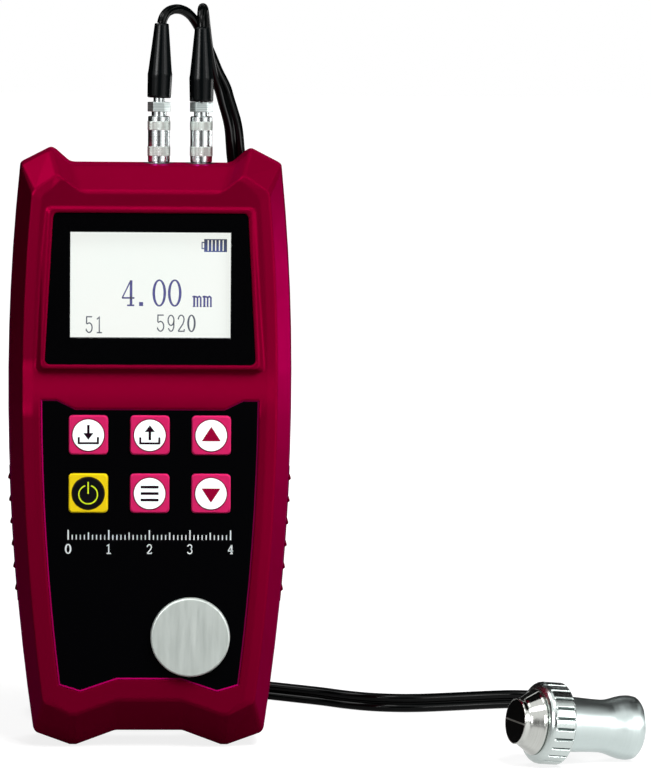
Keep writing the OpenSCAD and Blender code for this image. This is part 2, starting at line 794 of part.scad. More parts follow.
// Ribbed rubber strip let into one side of the front shell
module side_grip() {
    ribs = [for (i = [0 : rib_count - 1]) each let (z = rib_low_z + i * rib_pitch)
        [[half_w(z - rib_half), z - rib_half], [half_w(z) + rib_proud, z - rib_top_half],
            [half_w(z) + rib_proud, z + rib_top_half], [half_w(z + rib_half), z + rib_half]]];
    color([0.08, 0.08, 0.09]) slab(seam_y - grip_back - grip_d, seam_y - grip_back) polygon(concat(
        [for (i = [grip_steps : -1 : 0]) let (z = mix(grip_low_z, grip_high_z, i / grip_steps))
            [half_w(z) - grip_t, z]],
        [[half_w(grip_low_z), grip_low_z]], ribs, [[half_w(grip_high_z), grip_high_z]]));
}
module side_grip_right() side_grip();
module side_grip_left() mirror([1, 0, 0]) side_grip();

module display_window() {
    color([0.12, 0.13, 0.15]) skin([
        lean(window_outline(0, 0), window_sink),
        stand(window_outline(0, 0), front_y + window_seat - fit)]);
}

module lcd_panel() {
    color([0.85, 0.87, 0.85]) translate([0, 0, lcd_z]) slab(lcd_front_y, lcd_front_y + lcd_t)
        square([lcd_w + lcd_margin_w, lcd_h + lcd_margin_h], center = true);
}

module backlight() {
    color([0.93, 0.93, 0.9]) translate([0, 0, lcd_z]) slab(light_front_y, light_front_y + light_t)
        square([lcd_w + light_margin, lcd_h + light_margin], center = true);
}

// Circuit board with its chips
module main_board() {
    color([0.05, 0.3, 0.15]) union() {
        difference() {
            slab(board_front_y, board_back_y) polygon([
                [board_half_top, board_top_z], [board_half_low, board_low_z],
                [-board_half_low, board_low_z], [-board_half_top, board_top_z]]);
            for (p = board_screw_places) {
                rod(p[0], p[1], board_screw_r + fit, board_front_y - over, board_back_y + over);
            }
        }
        for (i = [0 : len(chip_sizes) - 1]) let (share = chip_shares[i])
            translate([board_half_top * share[0], 0, mix(board_low_z, board_top_z, share[1])])
                slab(board_back_y - board_t / 2, board_back_y + chip_h)
                    square(chip_sizes[i], center = true);
    }
}

// Black panel with holes for the keys and the test block
module keypad_overlay() {
    color([0.03, 0.03, 0.035]) difference() {
        slab(front_y + panel_sink, front_y + panel_sink + panel_t - run_gap)
            polygon(both_halves(panel_half));
        key_cuts(key_gap, front_y - over, inner_front_y);
        rod(block_x, block_z, block_r + fit, front_y - over, inner_front_y);
    }
}

// A key: chamfered cap with a raised disc, a flange behind the face and a stem to its dome
module key(column, row, tint) {
    p = key_place(column, row);
    cap_y = front_y - key_proud;
    flange_y = inner_front_y + run_gap;
    stem_y = board_front_y - dome_h - key_travel - dome_gap;
    color(tint) translate([p[0], 0, p[1]]) {
        skin([
            stand(rounded_box(key_w - 2 * key_edge, key_w - 2 * key_edge, key_r), cap_y),
            stand(rounded_box(key_w, key_w, key_r), cap_y + key_edge),
            stand(rounded_box(key_w, key_w, key_r), flange_y + flange_t / 2)]);
        slab(flange_y, flange_y + flange_t)
            polygon(rounded_box(key_w + 2 * flange_grow, key_w + 2 * flange_grow, key_r));
        rod(0, 0, key_disc_r, cap_y - key_disc_t, cap_y + key_edge);
        rod(0, 0, stem_r, flange_y, stem_y);
    }
}
module key_store() key(-1, 0, [0.85, 0.25, 0.5]);
module key_recall() key(0, 0, [0.85, 0.25, 0.5]);
module key_up() key(1, 0, [0.85, 0.25, 0.5]);
module key_power() key(-1, -1, [0.95, 0.8, 0.1]);
module key_menu() key(0, -1, [0.85, 0.25, 0.5]);
module key_down() key(1, -1, [0.85, 0.25, 0.5]);

// Snap domes on the board, one under each key
module key_domes() {
    color([0.8, 0.75, 0.6]) for (c = key_columns, r = key_rows) let (p = key_place(c, r))
        translate([p[0], board_front_y - run_gap / 2, p[1]]) rotate([90, 0, 0])
            cylinder(r1 = dome_r, r2 = stem_r, h = dome_h - run_gap / 2, $fn = fine);
}

// Steel disc of known thickness, held from behind by its flange
module test_block() {
    flange = block_r + block_flange;
    flange_y = -inner_front_y - fit;
    face_y = block_proud - front_y;
    color([0.8, 0.8, 0.82]) translate([block_x, 0, block_z]) rotate([90, 0, 0]) rotate_extrude($fn = fine)
        polygon([[0, flange_y - block_flange_t], [flange, flange_y - block_flange_t],
            [flange, flange_y], [block_r, flange_y], [block_r, face_y - block_edge],
            [block_r - block_edge, face_y], [0, face_y]]);
}

// Round socket let into the top of the case
module socket(x) {
    color([0.75, 0.76, 0.78]) translate([x, socket_y, case_h]) {
        rotate_extrude($fn = fine) polygon([[0, -socket_len], [socket_r, -socket_len],
            [socket_r, -socket_flange_h], [socket_flange_r, -socket_flange_h],
            [socket_flange_r, -sleeve_edge], [socket_flange_r - sleeve_edge, 0], [socket_bore_r, 0],
            [socket_bore_r, -socket_bore_len], [0, -socket_bore_len]]);
        translate([0, 0, -socket_bore_len - over])
            cylinder(r = socket_pin_r, h = nose_bore_len + over, $fn = fine);
    }
}
module socket_left() socket(socket_x);
module socket_right() socket(right_x);

module socket_nuts() {
    color([0.7, 0.7, 0.7]) for (x = [socket_x, right_x]) {
        translate([x, socket_y, case_h - top_wall - fit - socket_nut_h]) difference() {
            cylinder(r = socket_nut_r, h = socket_nut_h, $fn = 6);
            translate([0, 0, -over]) cylinder(r = socket_r + fit, h = socket_nut_h + 2 * over, $fn = fine);
        }
    }
}

// Plug: a hollow nose in the socket, a core through the sleeve and nut, and a spigot in the boot
module plug(x) {
    color([0.82, 0.83, 0.85]) translate([x, socket_y, 0]) rotate_extrude($fn = fine) polygon([
        [nose_bore_r, case_h - nose_pin_len], [nose_pin_r, case_h - nose_pin_len],
        [nose_pin_r, sleeve_z - run_gap], [core_r, sleeve_z - run_gap], [core_r, nut_z + nut_h],
        [spigot_r, nut_z + nut_h], [spigot_r, nut_z + nut_h + spigot_len], [0, nut_z + nut_h + spigot_len],
        [0, case_h - nose_pin_len + nose_bore_len], [nose_bore_r, case_h - nose_pin_len + nose_bore_len]]);
}
module plug_left() plug(socket_x);
module plug_right() plug(right_x);

// Knurled band round a release sleeve
module knurl(z, h) {
    translate([0, 0, z]) linear_extrude(h) polygon([for (i = [0 : 2 * band_teeth - 1])
        let (r = band_r - (i % 2) * band_groove, a = i * 180 / band_teeth) [r * cos(a), r * sin(a)]]);
}

// Sleeve that is pulled up to free the plug
module release_sleeve(x) {
    color([0.85, 0.86, 0.88]) translate([x, socket_y, sleeve_z]) difference() {
        union() {
            rotate_extrude($fn = fine) polygon([
                [0, 0], [sleeve_r - sleeve_edge, 0], [sleeve_r, sleeve_edge],
                [sleeve_r, sleeve_len - sleeve_edge], [sleeve_r - sleeve_edge, sleeve_len],
                [0, sleeve_len]]);
            knurl(low_band_z, low_band_h);
            knurl(high_band_z, high_band_h);
        }
        translate([0, 0, -over]) cylinder(r = core_r + run_gap, h = sleeve_len + 2 * over, $fn = fine);
    }
}
module release_sleeve_left() release_sleeve(socket_x);
module release_sleeve_right() release_sleeve(right_x);

module collet_nut(x) {
    color([0.85, 0.86, 0.88]) translate([x, socket_y, nut_z]) difference() {
        cylinder(r = nut_r, h = nut_h, $fn = 6);
        translate([0, 0, -over]) cylinder(r = core_r + run_gap, h = nut_h + 2 * over, $fn = fine);
    }
}
module collet_nut_left() collet_nut(socket_x);
module collet_nut_right() collet_nut(right_x);

// Rubber boot, widest at its shoulder and drawn in to the tail
module boot() {
    color([0.05, 0.05, 0.055]) rotate_extrude($fn = fine) polygon([
        [boot_bore_r, 0], [boot_base_r - sleeve_edge, 0], [boot_base_r, sleeve_edge],
        [boot_r, boot_skirt - sleeve_edge], [boot_r, boot_skirt + sleeve_edge],
        [mix(boot_r, boot_tip_r, boot_neck_share), boot_skirt + over],
        [boot_tip_r + sleeve_edge / 2, boot_len - sleeve_edge], [boot_tip_r - sleeve_edge / 2, boot_len],
        [0, boot_len], [0, boot_bore_len], [boot_bore_r, boot_bore_len]]);
}
module boot_left() translate([socket_x, socket_y, left_boot_z]) rotate([0, boot_lean, 0]) boot();
module boot_right() translate([right_x, socket_y, right_boot_z]) boot();

module tail_left() {
    color([0.04, 0.04, 0.045]) sweep(tail_left_route, [for (p = tail_left_route) join_width],
        tail_section, [sin(boot_lean), 0, cos(boot_lean)], join_way);
}
module tail_right() {
    color([0.04, 0.04, 0.045]) sweep(tail_right_route, [for (p = tail_right_route) [1, 0, 0]],
        tail_section, [0, 0, 1], join_way);
}
module lead_drop() {
    color([0.04, 0.04, 0.045]) sweep(drop_route, drop_hints, twin_section, join_way, coil_way(0));
}
module lead_run() {
    color([0.04, 0.04, 0.045]) sweep(run_route, [for (p = run_route) [0, 0, -1]],
        twin_section, coil_way(1), -relief_axis);
}

// The lead's store of length, wound outwards in one flat coil
module lead_coil() {
    color([0.04, 0.04, 0.045]) skin([for (i = [0 : coil_count])
        ring_at(coil_route[i], coil_way(i / coil_count), [0, 0, -1], twin_section)]);
}

// Door over the cells, with a ribbed scoop for the thumb
module battery_door() {
    scoop_z = bay_z + door_len / 2 - door_rib_drop - scoop_r;
    color([0.48, 0.02, 0.15]) {
        difference() {
            translate([0, 0, bay_z]) skin([
                stand(rounded_box(2 * door_half_w, door_len, door_r), back_y - door_t),
                stand(rounded_box(2 * door_half_w, door_len, door_r), back_y - key_edge),
                stand(rounded_box(2 * (door_half_w - key_edge), door_len - 2 * key_edge, door_r), back_y)]);
            rod(0, scoop_z, scoop_r, back_y - scoop_d, back_y + over);
        }
        for (i = [0 : door_rib_count - 1])
            let (z = scoop_z + (i - (door_rib_count - 1) / 2) * door_rib_pitch,
                w = sqrt(pow(scoop_r, 2) - pow(z - scoop_z, 2)) - door_rib_w)
            block(-w, w, back_y - scoop_d - door_rib_h, back_y - scoop_d + door_rib_h,
                z - door_rib_w / 2, z + door_rib_w / 2);
    }
}

// Places its children in one half of the bay, turned over in the right half
module in_bay(side) {
    translate([side * cell_x, cell_y, bay_z]) mirror([0, 0, side > 0 ? 1 : 0]) children();
}
nub_top = bay_len / 2 - plate_t - 2 * fit;

// Cell with its nub
module cell(side) {
    color([0.75, 0.6, 0.2]) in_bay(side) translate([0, 0, nub_top - cell_len]) {
        cylinder(r = cell_r, h = cell_len - cell_nub_h, $fn = fine);
        cylinder(r = cell_nub_r, h = cell_len, $fn = fine);
    }
}
module cell_left() cell(-1);
module cell_right() cell(1);

module contact_plate(z) {
    block(-plate_w / 2, plate_w / 2, -plate_w / 2, plate_w / 2, z, z + plate_t);
}
module contact_plates() {
    color([0.8, 0.8, 0.78]) for (side = [-1, 1]) in_bay(side) contact_plate(bay_len / 2 - plate_t - fit);
}

// Tapered springs on their plates, under each cell's flat end
module contact_springs() {
    low = fit + plate_t - bay_len / 2;
    rise = spring_len - spring_wire;
    count = spring_turns * spring_steps;
    section = [for (i = [0 : spring_sides - 1]) let (a = -i * 360 / spring_sides)
        [cos(a), sin(a)] * spring_wire / 2];
    color([0.8, 0.8, 0.78]) for (side = [-1, 1]) in_bay(side) {
        contact_plate(low - plate_t);
        skin([for (i = [0 : count])
            let (a = i * 360 / spring_steps, r = mix(spring_r_low, spring_r_top, i / count))
            ring_at([r * cos(a), r * sin(a), low + spring_wire * spring_seat_share + rise * i / count],
                [-sin(a), cos(a), 0], [cos(a), sin(a), 0], section)]);
    }
}

// Length and half width of a screw's cross slot, as shares of its head
slot_share = 0.7;
slot_w_share = 0.16;

// Screw along the depth of the case, with a cross slot in its head
module screw(p, shaft_r, head_r, head_h, y_tip, y_head) {
    slot = head_r * slot_share;
    slot_w = head_r * slot_w_share;
    difference() {
        union() {
            rod(p[0], p[1], shaft_r, y_tip, y_head + head_h / 2);
            rod(p[0], p[1], head_r, y_head, y_head + head_h);
        }
        for (turn = [0, 90]) translate([p[0], y_head + head_h / 2, p[1]]) rotate([0, turn, 0])
            block(-slot, slot, 0, head_h, -slot_w, slot_w);
    }
}
module case_screws() {
    color([0.3, 0.3, 0.32]) for (p = case_screw_places) {
        screw(p, screw_r, screw_head_r, screw_head_h, seam_y - screw_bite, back_y - post_floor);
    }
}
module board_screws() {
    color([0.7, 0.7, 0.72]) for (p = board_screw_places) {
        screw(p, board_screw_r, board_screw_head_r, board_screw_head_h,
            board_front_y - board_screw_bite, board_back_y + run_gap / 2);
    }
}

module buzzer() {
    color([0.1, 0.1, 0.1]) difference() {
        rod(buzzer_x, buzzer_z, buzzer_r, board_back_y + run_gap / 2, board_back_y + buzzer_h);
        rod(buzzer_x, buzzer_z, buzzer_hole_r, board_back_y + buzzer_h / 2, board_back_y + buzzer_h + over);
    }
}

// Turned body of the probe: spigot through the ring, waist, flared end and a boss for the lead
module probe_body() {
    color([0.75, 0.77, 0.79]) on_probe() difference() {
        union() {
            rotate_extrude($fn = fine) polygon(concat(
                [[0, -body_len], [flare_r - 2 * flare_edge, -body_len],
                    [flare_r - flare_edge, flare_edge / 2 - body_len],
                    [flare_r - flare_edge / 4, flare_edge * 1.25 - body_len], [flare_r, -flare_touch]],
                [for (i = [0 : waist_steps]) let (k = i / waist_steps)
                    [mix(flare_r, waist_r, ease(k)), mix(flare_edge - flare_touch, flare_start, k)]],
                [for (i = [1 : waist_steps]) let (k = i / waist_steps)
                    [mix(waist_r, body_r, ease(k)), mix(flare_start, -flare_edge, k)]],
                [[body_r - ring_play, -ring_play], [probe_spigot_r, -ring_play],
                    [probe_spigot_r, ring_w + nose_step], [0, ring_w + nose_step]]));
            translate([0, 0, -relief_back]) rotate([90, 0, 0])
                cylinder(r = relief_boss_r, h = relief_base - fit, $fn = fine);
        }
        translate([0, 0, -body_bore_len])
            cylinder(r = spigot_bore_r, h = body_bore_len + probe_end, $fn = fine);
        translate([0, 0, -relief_back]) rotate([90, 0, 0]) translate([0, 0, relief_root - fit])
            cylinder(r = relief_stem_r + fit, h = relief_base, $fn = fine);
    }
}

// Chrome nose screwed on the spigot, which keeps the ring in place
module probe_nose() {
    back = ring_w + ring_play;
    color([0.8, 0.8, 0.8]) on_probe() rotate_extrude($fn = fine) polygon([
        [probe_spigot_r + fit, back], [nose_r, back], [nose_r, back + nose_lip],
        [nose_r - nose_lip, back + 2 * nose_lip],
        [nose_front_r + nose_lip, back + nose_cone], [nose_front_r, back + nose_cone + nose_lip],
        [nose_front_r, probe_end - nose_lip / 2], [nose_front_r - nose_lip / 2, probe_end],
        [spigot_bore_r, probe_end], [spigot_bore_r, ring_w + nose_step + fit],
        [probe_spigot_r + fit, ring_w + nose_step + fit]]);
}

// Fluted ring that turns on the spigot
module probe_ring() {
    color([0.8, 0.82, 0.84]) on_probe() difference() {
        rotate_extrude($fn = fine) polygon(concat(
            [[probe_spigot_r + run_gap, 0], [ring_r - ring_edge, 0], [ring_r, ring_edge]],
            [for (a = [0 : ring_round_step : 90])
                [ring_r - ring_round * (1 - cos(a)), ring_w - ring_round * (1 - sin(a))]],
            [[probe_spigot_r + run_gap, ring_w]]));
        for (i = [0 : flute_count - 1]) rotate([0, 0, i * 360 / flute_count])
            translate([ring_r, 0, -over]) cylinder(r = flute_r, h = flute_end + over, $fn = fine);
    }
}

// Half of a disc on either side of the barrier
module half_discs(r, z0, z1) {
    for (s = [0, 1]) mirror([s, 0, 0]) intersection() {
        translate([0, 0, z0]) cylinder(r = r, h = z1 - z0, $fn = fine);
        translate([barrier_t / 2 + barrier_gap, -ring_r, z0 - over])
            cube([ring_r, 2 * ring_r, z1 - z0 + 2 * over]);
    }
}
module delay_lines() {
    color([0.05, 0.05, 0.05]) on_probe() half_discs(line_r, line_root, probe_end + line_proud);
}
module crystals() {
    color([0.8, 0.75, 0.5]) on_probe()
        half_discs(line_r, line_root - barrier_gap - crystal_t, line_root - barrier_gap);
}
module sound_barrier() {
    color([0.6, 0.55, 0.45]) on_probe() intersection() {
        translate([0, 0, line_root - crystal_t])
            cylinder(r = line_r, h = probe_end + line_proud - line_root + crystal_t, $fn = fine);
        translate([-barrier_t / 2, -ring_r, 0]) cube([barrier_t, 2 * ring_r, 2 * ring_r]);
    }
}
module backing_block() {
    top = line_root - crystal_t - 2 * barrier_gap;
    color([0.25, 0.25, 0.27]) on_probe() translate([0, 0, fit - body_bore_len])
        cylinder(r = spigot_bore_r - backing_gap, h = top + body_bore_len - fit, $fn = fine);
}

// Grooved rubber sleeve that carries the lead into the probe's side
module lead_relief() {
    step = (relief_reach - relief_base - relief_collar) / (relief_grooves + 1);
    color([0.05, 0.05, 0.055]) on_probe() translate([0, 0, -relief_back]) rotate([90, 0, 0])
        rotate_extrude($fn = fine) polygon(concat(
            [[0, relief_root], [relief_stem_r, relief_root], [relief_stem_r, relief_base],
                [relief_r, relief_base], [relief_r, relief_base + relief_collar]],
            [for (i = [0 : relief_grooves - 1]) each
                let (z = relief_reach - step * (relief_grooves - i), w = step * relief_groove_share,
                    r = mix(relief_r, relief_tip_r, (i + 1) / (relief_grooves + 1)))
                [[r, z - w], [r - relief_groove, z - w], [r - relief_groove, z], [r, z]]],
            [[relief_tip_r, relief_reach], [0, relief_reach]]));
}

front_shell();
rear_shell();
side_grip_left();
side_grip_right();
display_window();
lcd_panel();
backlight();
main_board();
keypad_overlay();
key_store();
key_recall();
key_up();
key_power();
key_menu();
key_down();
key_domes();
test_block();
socket_left();
socket_right();
socket_nuts();
plug_left();
plug_right();
release_sleeve_left();
release_sleeve_right();
collet_nut_left();
collet_nut_right();
boot_left();
boot_right();
battery_door();
cell_left();
cell_right();
contact_springs();
contact_plates();
case_screws();
board_screws();
buzzer();
probe_body();
probe_nose();
probe_ring();
delay_lines();
sound_barrier();
crystals();
backing_block();
lead_relief();
tail_left();
tail_right();
lead_drop();
lead_coil();
lead_run();
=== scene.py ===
# %% [markdown]
# # A hand-held thickness gauge, built on its CAD frame
#
# The gauge measures the thickness of a wall by sound. It has a crimson case with a display
# and six keys, two miniature coaxial plugs in its top edge, a twin lead and a steel probe.
# The solids of the case, the keys, the plugs and the probe come from the CAD model and stay
# as they are. Blender adds what a solid can't say: how each surface takes the light, what
# is printed on the keys and the display, the knurls of the plugs, and the soft black lead.
# The first cell loads the CAD model.

# %% Load the frame
from math import cos, pi, radians, sin

import bmesh
import bpy
from mathutils import Euler, Matrix, Vector


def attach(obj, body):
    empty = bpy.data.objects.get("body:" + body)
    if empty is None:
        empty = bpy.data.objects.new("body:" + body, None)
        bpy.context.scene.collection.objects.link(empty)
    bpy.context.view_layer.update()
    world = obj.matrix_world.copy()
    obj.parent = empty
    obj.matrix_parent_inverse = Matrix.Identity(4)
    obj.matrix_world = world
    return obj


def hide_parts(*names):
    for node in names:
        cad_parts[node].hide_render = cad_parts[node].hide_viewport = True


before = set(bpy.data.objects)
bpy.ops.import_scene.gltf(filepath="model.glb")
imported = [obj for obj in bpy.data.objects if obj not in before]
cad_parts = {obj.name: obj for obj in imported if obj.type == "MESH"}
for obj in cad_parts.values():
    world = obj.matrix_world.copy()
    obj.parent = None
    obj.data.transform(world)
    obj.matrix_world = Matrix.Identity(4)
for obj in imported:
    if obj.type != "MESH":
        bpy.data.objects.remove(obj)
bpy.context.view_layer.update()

MM = 0.001
MAIN_BODY = "gauge"


def in_metres(points):
    """Points that are easier to read in millimetres, as vectors in metres."""
    return [Vector(p) * MM for p in points]


def as_object(name, data):
    """A new object in the scene with this mesh, lamp or camera."""
    made = bpy.data.objects.new(name, data)
    bpy.context.scene.collection.objects.link(made)
    return made


# %% [markdown]
# ## The camera
#
# The gauge was photographed from the front with a long lens, a little from above and a
# little from its left. A long lens keeps the sides of the case nearly parallel. The camera
# could be placed by eye, but here its distance and its tilt come from how much narrower
# the far edges look, and its roll of half a degree from the edges that should be level.

# %% Camera
camera_data = bpy.data.cameras.new("studio_camera")
camera_data.lens = 187.5
camera_data.sensor_width = 36
camera_data.clip_start = 0.01
camera = as_object("studio_camera", camera_data)
camera.location = (0, -0.9963, 0.1753)
TILT, TURN, ROLL = radians(85.1115), radians(-2.52), radians(0.48)
aim = Euler((TILT, 0, TURN)).to_matrix() @ Matrix.Rotation(ROLL, 3, "Z")
camera.rotation_euler = aim.to_euler()
bpy.context.scene.camera = camera
bpy.context.scene.view_settings.view_transform = "Standard"
print(f"lens {camera_data.lens} mm, {abs(camera.location.y):.2f} m in front of the gauge")

# %% [markdown]
# ## The line that a cord follows
#
# A cord is limp, so its centre line has no corners. The CAD model gives a few dozen points
# for each stretch. A smooth line through them could be a Bezier curve with handles placed
# by hand. Hermite pieces are used here, because their slopes come from the neighbouring
# points by a rule, and both ends can be told which way to leave.

# %% A smooth line through given points
def smooth_line(points, first_way, last_way, step=0.0015):
    """Points about step apart on a smooth curve through the given ones, with its two headings.

    Each new point comes with its place in the given list: 2.5 is half way from 2 to 3.
    """
    slopes = [first_way.normalized()]
    for before, p, after in zip(points, points[1:], points[2:]):
        a, b = (p - before).length, (after - p).length
        slopes.append(((after - p) * (a / b) + (p - before) * (b / a)) / (a + b))
    slopes.append(last_way.normalized())
    line, where = [points[0].copy()], [0.0]
    for i in range(len(points) - 1):
        gap = (points[i + 1] - points[i]).length
        count = max(1, round(gap / step))
        for k in range(1, count + 1):
            t = k / count
            line.append(
                points[i] * (2 * t**3 - 3 * t**2 + 1)
                + slopes[i] * gap * (t**3 - 2 * t**2 + t)
                + points[i + 1] * (3 * t**2 - 2 * t**3)
                + slopes[i + 1] * gap * (t**3 - t**2)
            )
            where.append(i + t)
    return line, where


def length_of(line):
    return sum((b - a).length for a, b in zip(line, line[1:]))


# %% [markdown]
# ## The route of the lead
#
# The lead is a twin: one coaxial strand for the sound that goes out and one for the echo.
# Two tails leave the rubber boots of the plugs and meet in a twin that drops behind the
# case. Half a metre of it is wound in a flat coil behind the case, where a person would
# put it for a photograph, and the rest runs over the bench to the probe. The twin stands on
# its edge, one strand above the other, so each point also has a direction for its width.

# %% Points of the tails and of the twin, in millimetres
JOIN = Vector((18.4, 16, 162))
JOIN_WAY = Vector((0.24, 0.18, -0.95)).normalized()
STRAND_RADIUS, STRAND_OFFSET, WEB_HALF = 1.2, 1.225, 0.42
JOIN_WIDTH = Vector((0.8, 0.6, 0))
JOIN_SIDE = (JOIN_WIDTH - JOIN_WIDTH.dot(JOIN_WAY) * JOIN_WAY).normalized() * STRAND_OFFSET
BOOT_LEAN, BOOT_LENGTH = radians(1.8), 18.4
BOOT_FEET = (Vector((1.9, -2, 161.15)), Vector((12.4, -2, 160.25)))
LEFT_WAY, RIGHT_WAY = Vector((sin(BOOT_LEAN), 0, cos(BOOT_LEAN))), Vector((0, 0, 1))

left_tail_points = [
    BOOT_FEET[0] + LEFT_WAY * BOOT_LENGTH, (2.8, -1.8, 180.8), (3.5, -1, 182),
    (4.9, 0.6, 182.9), (6.7, 2.8, 183.1), (8.5, 5.2, 182.5), (10.2, 7.6, 181), (11.7, 9.8, 178.7),
    (13.2, 11.9, 175.8), (14.9, 13.7, 172.2), (16.7, 15.2, 168), JOIN + JOIN_SIDE,
]
right_tail_points = [
    BOOT_FEET[1] + RIGHT_WAY * BOOT_LENGTH, (12.4, -1.7, 180.2), (12.4, -0.8, 181.7),
    (12.5, 0.5, 182.8), (12.6, 2.1, 183.4), (12.8, 3.9, 183.4), (13, 5.5, 182.8),
    (13.2, 6.9, 181.6), (13.4, 7.8, 180), (13.9, 9.2, 176), (14.6, 11.1, 171.6),
    (15.7, 13.4, 166.8), JOIN - JOIN_SIDE,
]
drop_points = [
    JOIN, (20.7, 17.5, 153.8), (21.4, 18.5, 147), (22.4, 19.4, 139), (23.4, 20.3, 130),
    (24.3, 21, 120), (25, 21.6, 109), (25.6, 22.1, 98), (26, 22.5, 87), (26.3, 22.8, 76),
    (26.5, 23, 65), (26.5, 23.2, 54), (26.5, 23.4, 43), (26.5, 23.6, 33), (26.4, 24, 24),
    (24.2, 26.3, 14.4), (20, 29.6, 9.4), (15.3, 31.8, 8), (11, 32.3, 7.9),
]
# Where the twin hangs its width lies along X, and on the bench it points down
drop_widths = [JOIN_WIDTH, (0.9, 0.4, 0), (1, 0.2, 0)] + [(1, 0, 0)] * 12
drop_widths += [(0.9, 0, -0.4), (0.5, 0, -0.8), (0, 0, -1), (0, 0, -1)]

COIL_MIDDLE, COIL_START, SINK_ANGLE = (-0.5, 48), -70, 100
COIL_TURNS, COIL_STEPS, COIL_INNER, COIL_PITCH = 3.65, 88, 18.4, 3.0
TOP_Z, BENCH_Z = 7.9, 2.45


def coil_point(k):
    """A point at share k of the coil, which is a flat spiral that first sinks to the bench."""
    turned = 360 * COIL_TURNS * k
    angle = radians(COIL_START - turned)
    radius = COIL_INNER + COIL_PITCH * COIL_TURNS * k
    sunk = min(1.0, turned / SINK_ANGLE)
    sunk = sunk * sunk * (3 - 2 * sunk)
    return (
        COIL_MIDDLE[0] + radius * cos(angle),
        COIL_MIDDLE[1] + radius * sin(angle),
        TOP_Z + (BENCH_Z - TOP_Z) * sunk,
    )


coil_points = [coil_point(i / COIL_STEPS) for i in range(COIL_STEPS + 1)]
RELIEF_END = Vector((102.4286, -10.8368, 8.797))
RELIEF_WAY = Vector((0.342, -0.940, 0))
bench_points = [
    (24, 67.2), (31.4, 62.1), (39.2, 56.8), (46.4, 51.7), (52, 47), (57.8, 43.5), (64.6, 41.7),
    (71.2, 41.8), (78, 43.4), (84.6, 45.3), (91, 47.1), (96.5, 48), (101.5, 47), (105.5, 43.5),
    (107.3, 38.4), (107.3, 32.2), (106.1, 25.8),
]
run_points = [(x, y, BENCH_Z) for x, y in bench_points] + [
    (104.3, 19, 2.6), (102.3, 12.2, 3.7), (100.7, 5.4, 5.6), (100.1, -0.9, 7.6),
    (100.8, -6.2, 8.6), RELIEF_END,
]
twin_points = drop_points + coil_points + run_points
twin_widths = drop_widths + [(0, 0, -1)] * (len(coil_points) + len(run_points))
print(f"{len(twin_points)} points for the twin, {len(left_tail_points)} for each tail")

# %% [markdown]
# ## Sweeping the twin
#
# The jacket of the twin is one extrusion: two round strands with a thin web between them.
# Blender's curve bevel could sweep it, but the twist of a bevelled curve is hard to hold,
# and here the strands must lie side by side behind the case and one above the other on the
# bench. So the section is swept in mesh code, and each ring is turned to its own width.

# %% Pieces from meshes, and the twin lead
SHARP_ANGLE, ARC_STEPS = radians(40), 11


def mesh_data(name, mesh):
    """Turns a bmesh into a mesh, with its normals outwards."""
    bmesh.ops.recalc_face_normals(mesh, faces=mesh.faces)
    data = bpy.data.meshes.new(name)
    mesh.to_mesh(data)
    mesh.free()
    return data


def belongs(piece, body, finish_name=None):
    """Says what a piece rides on, and gives it its own finish when one is named."""
    if finish_name:
        piece.data.materials.append(bpy.data.materials[finish_name])
    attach(piece, body)
    return piece


def twin_section():
    """The outline of the jacket: two arcs, each open towards the web, as pairs (across, out)."""
    half = pi - sin(WEB_HALF / STRAND_RADIUS)
    points = []
    for side, start in ((1, 0), (-1, pi)):
        for i in range(ARC_STEPS + 1):
            turn = start - half + 2 * half * i / ARC_STEPS
            across = side * STRAND_OFFSET + STRAND_RADIUS * cos(turn)
            points.append((across, STRAND_RADIUS * sin(turn)))
    return points


def joined(mesh, low, high):
    """Faces between two rings of as many points."""
    for i in range(len(low)):
        n = (i + 1) % len(low)
        mesh.faces.new((low[i], low[n], high[n], high[i]))


def sweep(name, line, widths, section):
    """A closed mesh along a line. Its rings are square to the line, each turned to its width."""
    mesh = bmesh.new()
    rings = []
    for i, p in enumerate(line):
        way = (line[min(i + 1, len(line) - 1)] - line[max(i - 1, 0)]).normalized()
        across = (widths[i] - widths[i].dot(way) * way).normalized()
        out = way.cross(across)
        rings.append([mesh.verts.new(p + (across * a + out * b) * MM) for a, b in section])
    for low, high in zip(rings, rings[1:]):
        joined(mesh, low, high)
    mesh.faces.new(list(reversed(rings[0])))
    mesh.faces.new(rings[-1])
    data = mesh_data(name, mesh)
    data.shade_smooth()
    data.set_sharp_from_angle(angle=SHARP_ANGLE)
    return as_object(name, data)


twin_line, twin_where = smooth_line(in_metres(twin_points), JOIN_WAY, RELIEF_WAY)
smooth_widths = []
for at in twin_where:
    i = min(int(at), len(twin_widths) - 2)
    smooth_widths.append(Vector(twin_widths[i]).lerp(Vector(twin_widths[i + 1]), at - i))
twin_lead = sweep("twin_lead", twin_line, smooth_widths, twin_section())

# %% [markdown]
# ## A node tree that lays a tube along a line
#
# The tails are plain round strands. A tube that follows a path is the simplest thing that
# Geometry Nodes can make: the edges of a line become a curve, the curve is resampled, and
# a circle is drawn along it. The tree is kept general, with the radius and the step as
# named inputs, so the same tree could also draw other round wires.

# %% Helpers for node trees
FLOAT, VECTOR, WHOLE = "NodeSocketFloat", "NodeSocketVector", "NodeSocketInt"


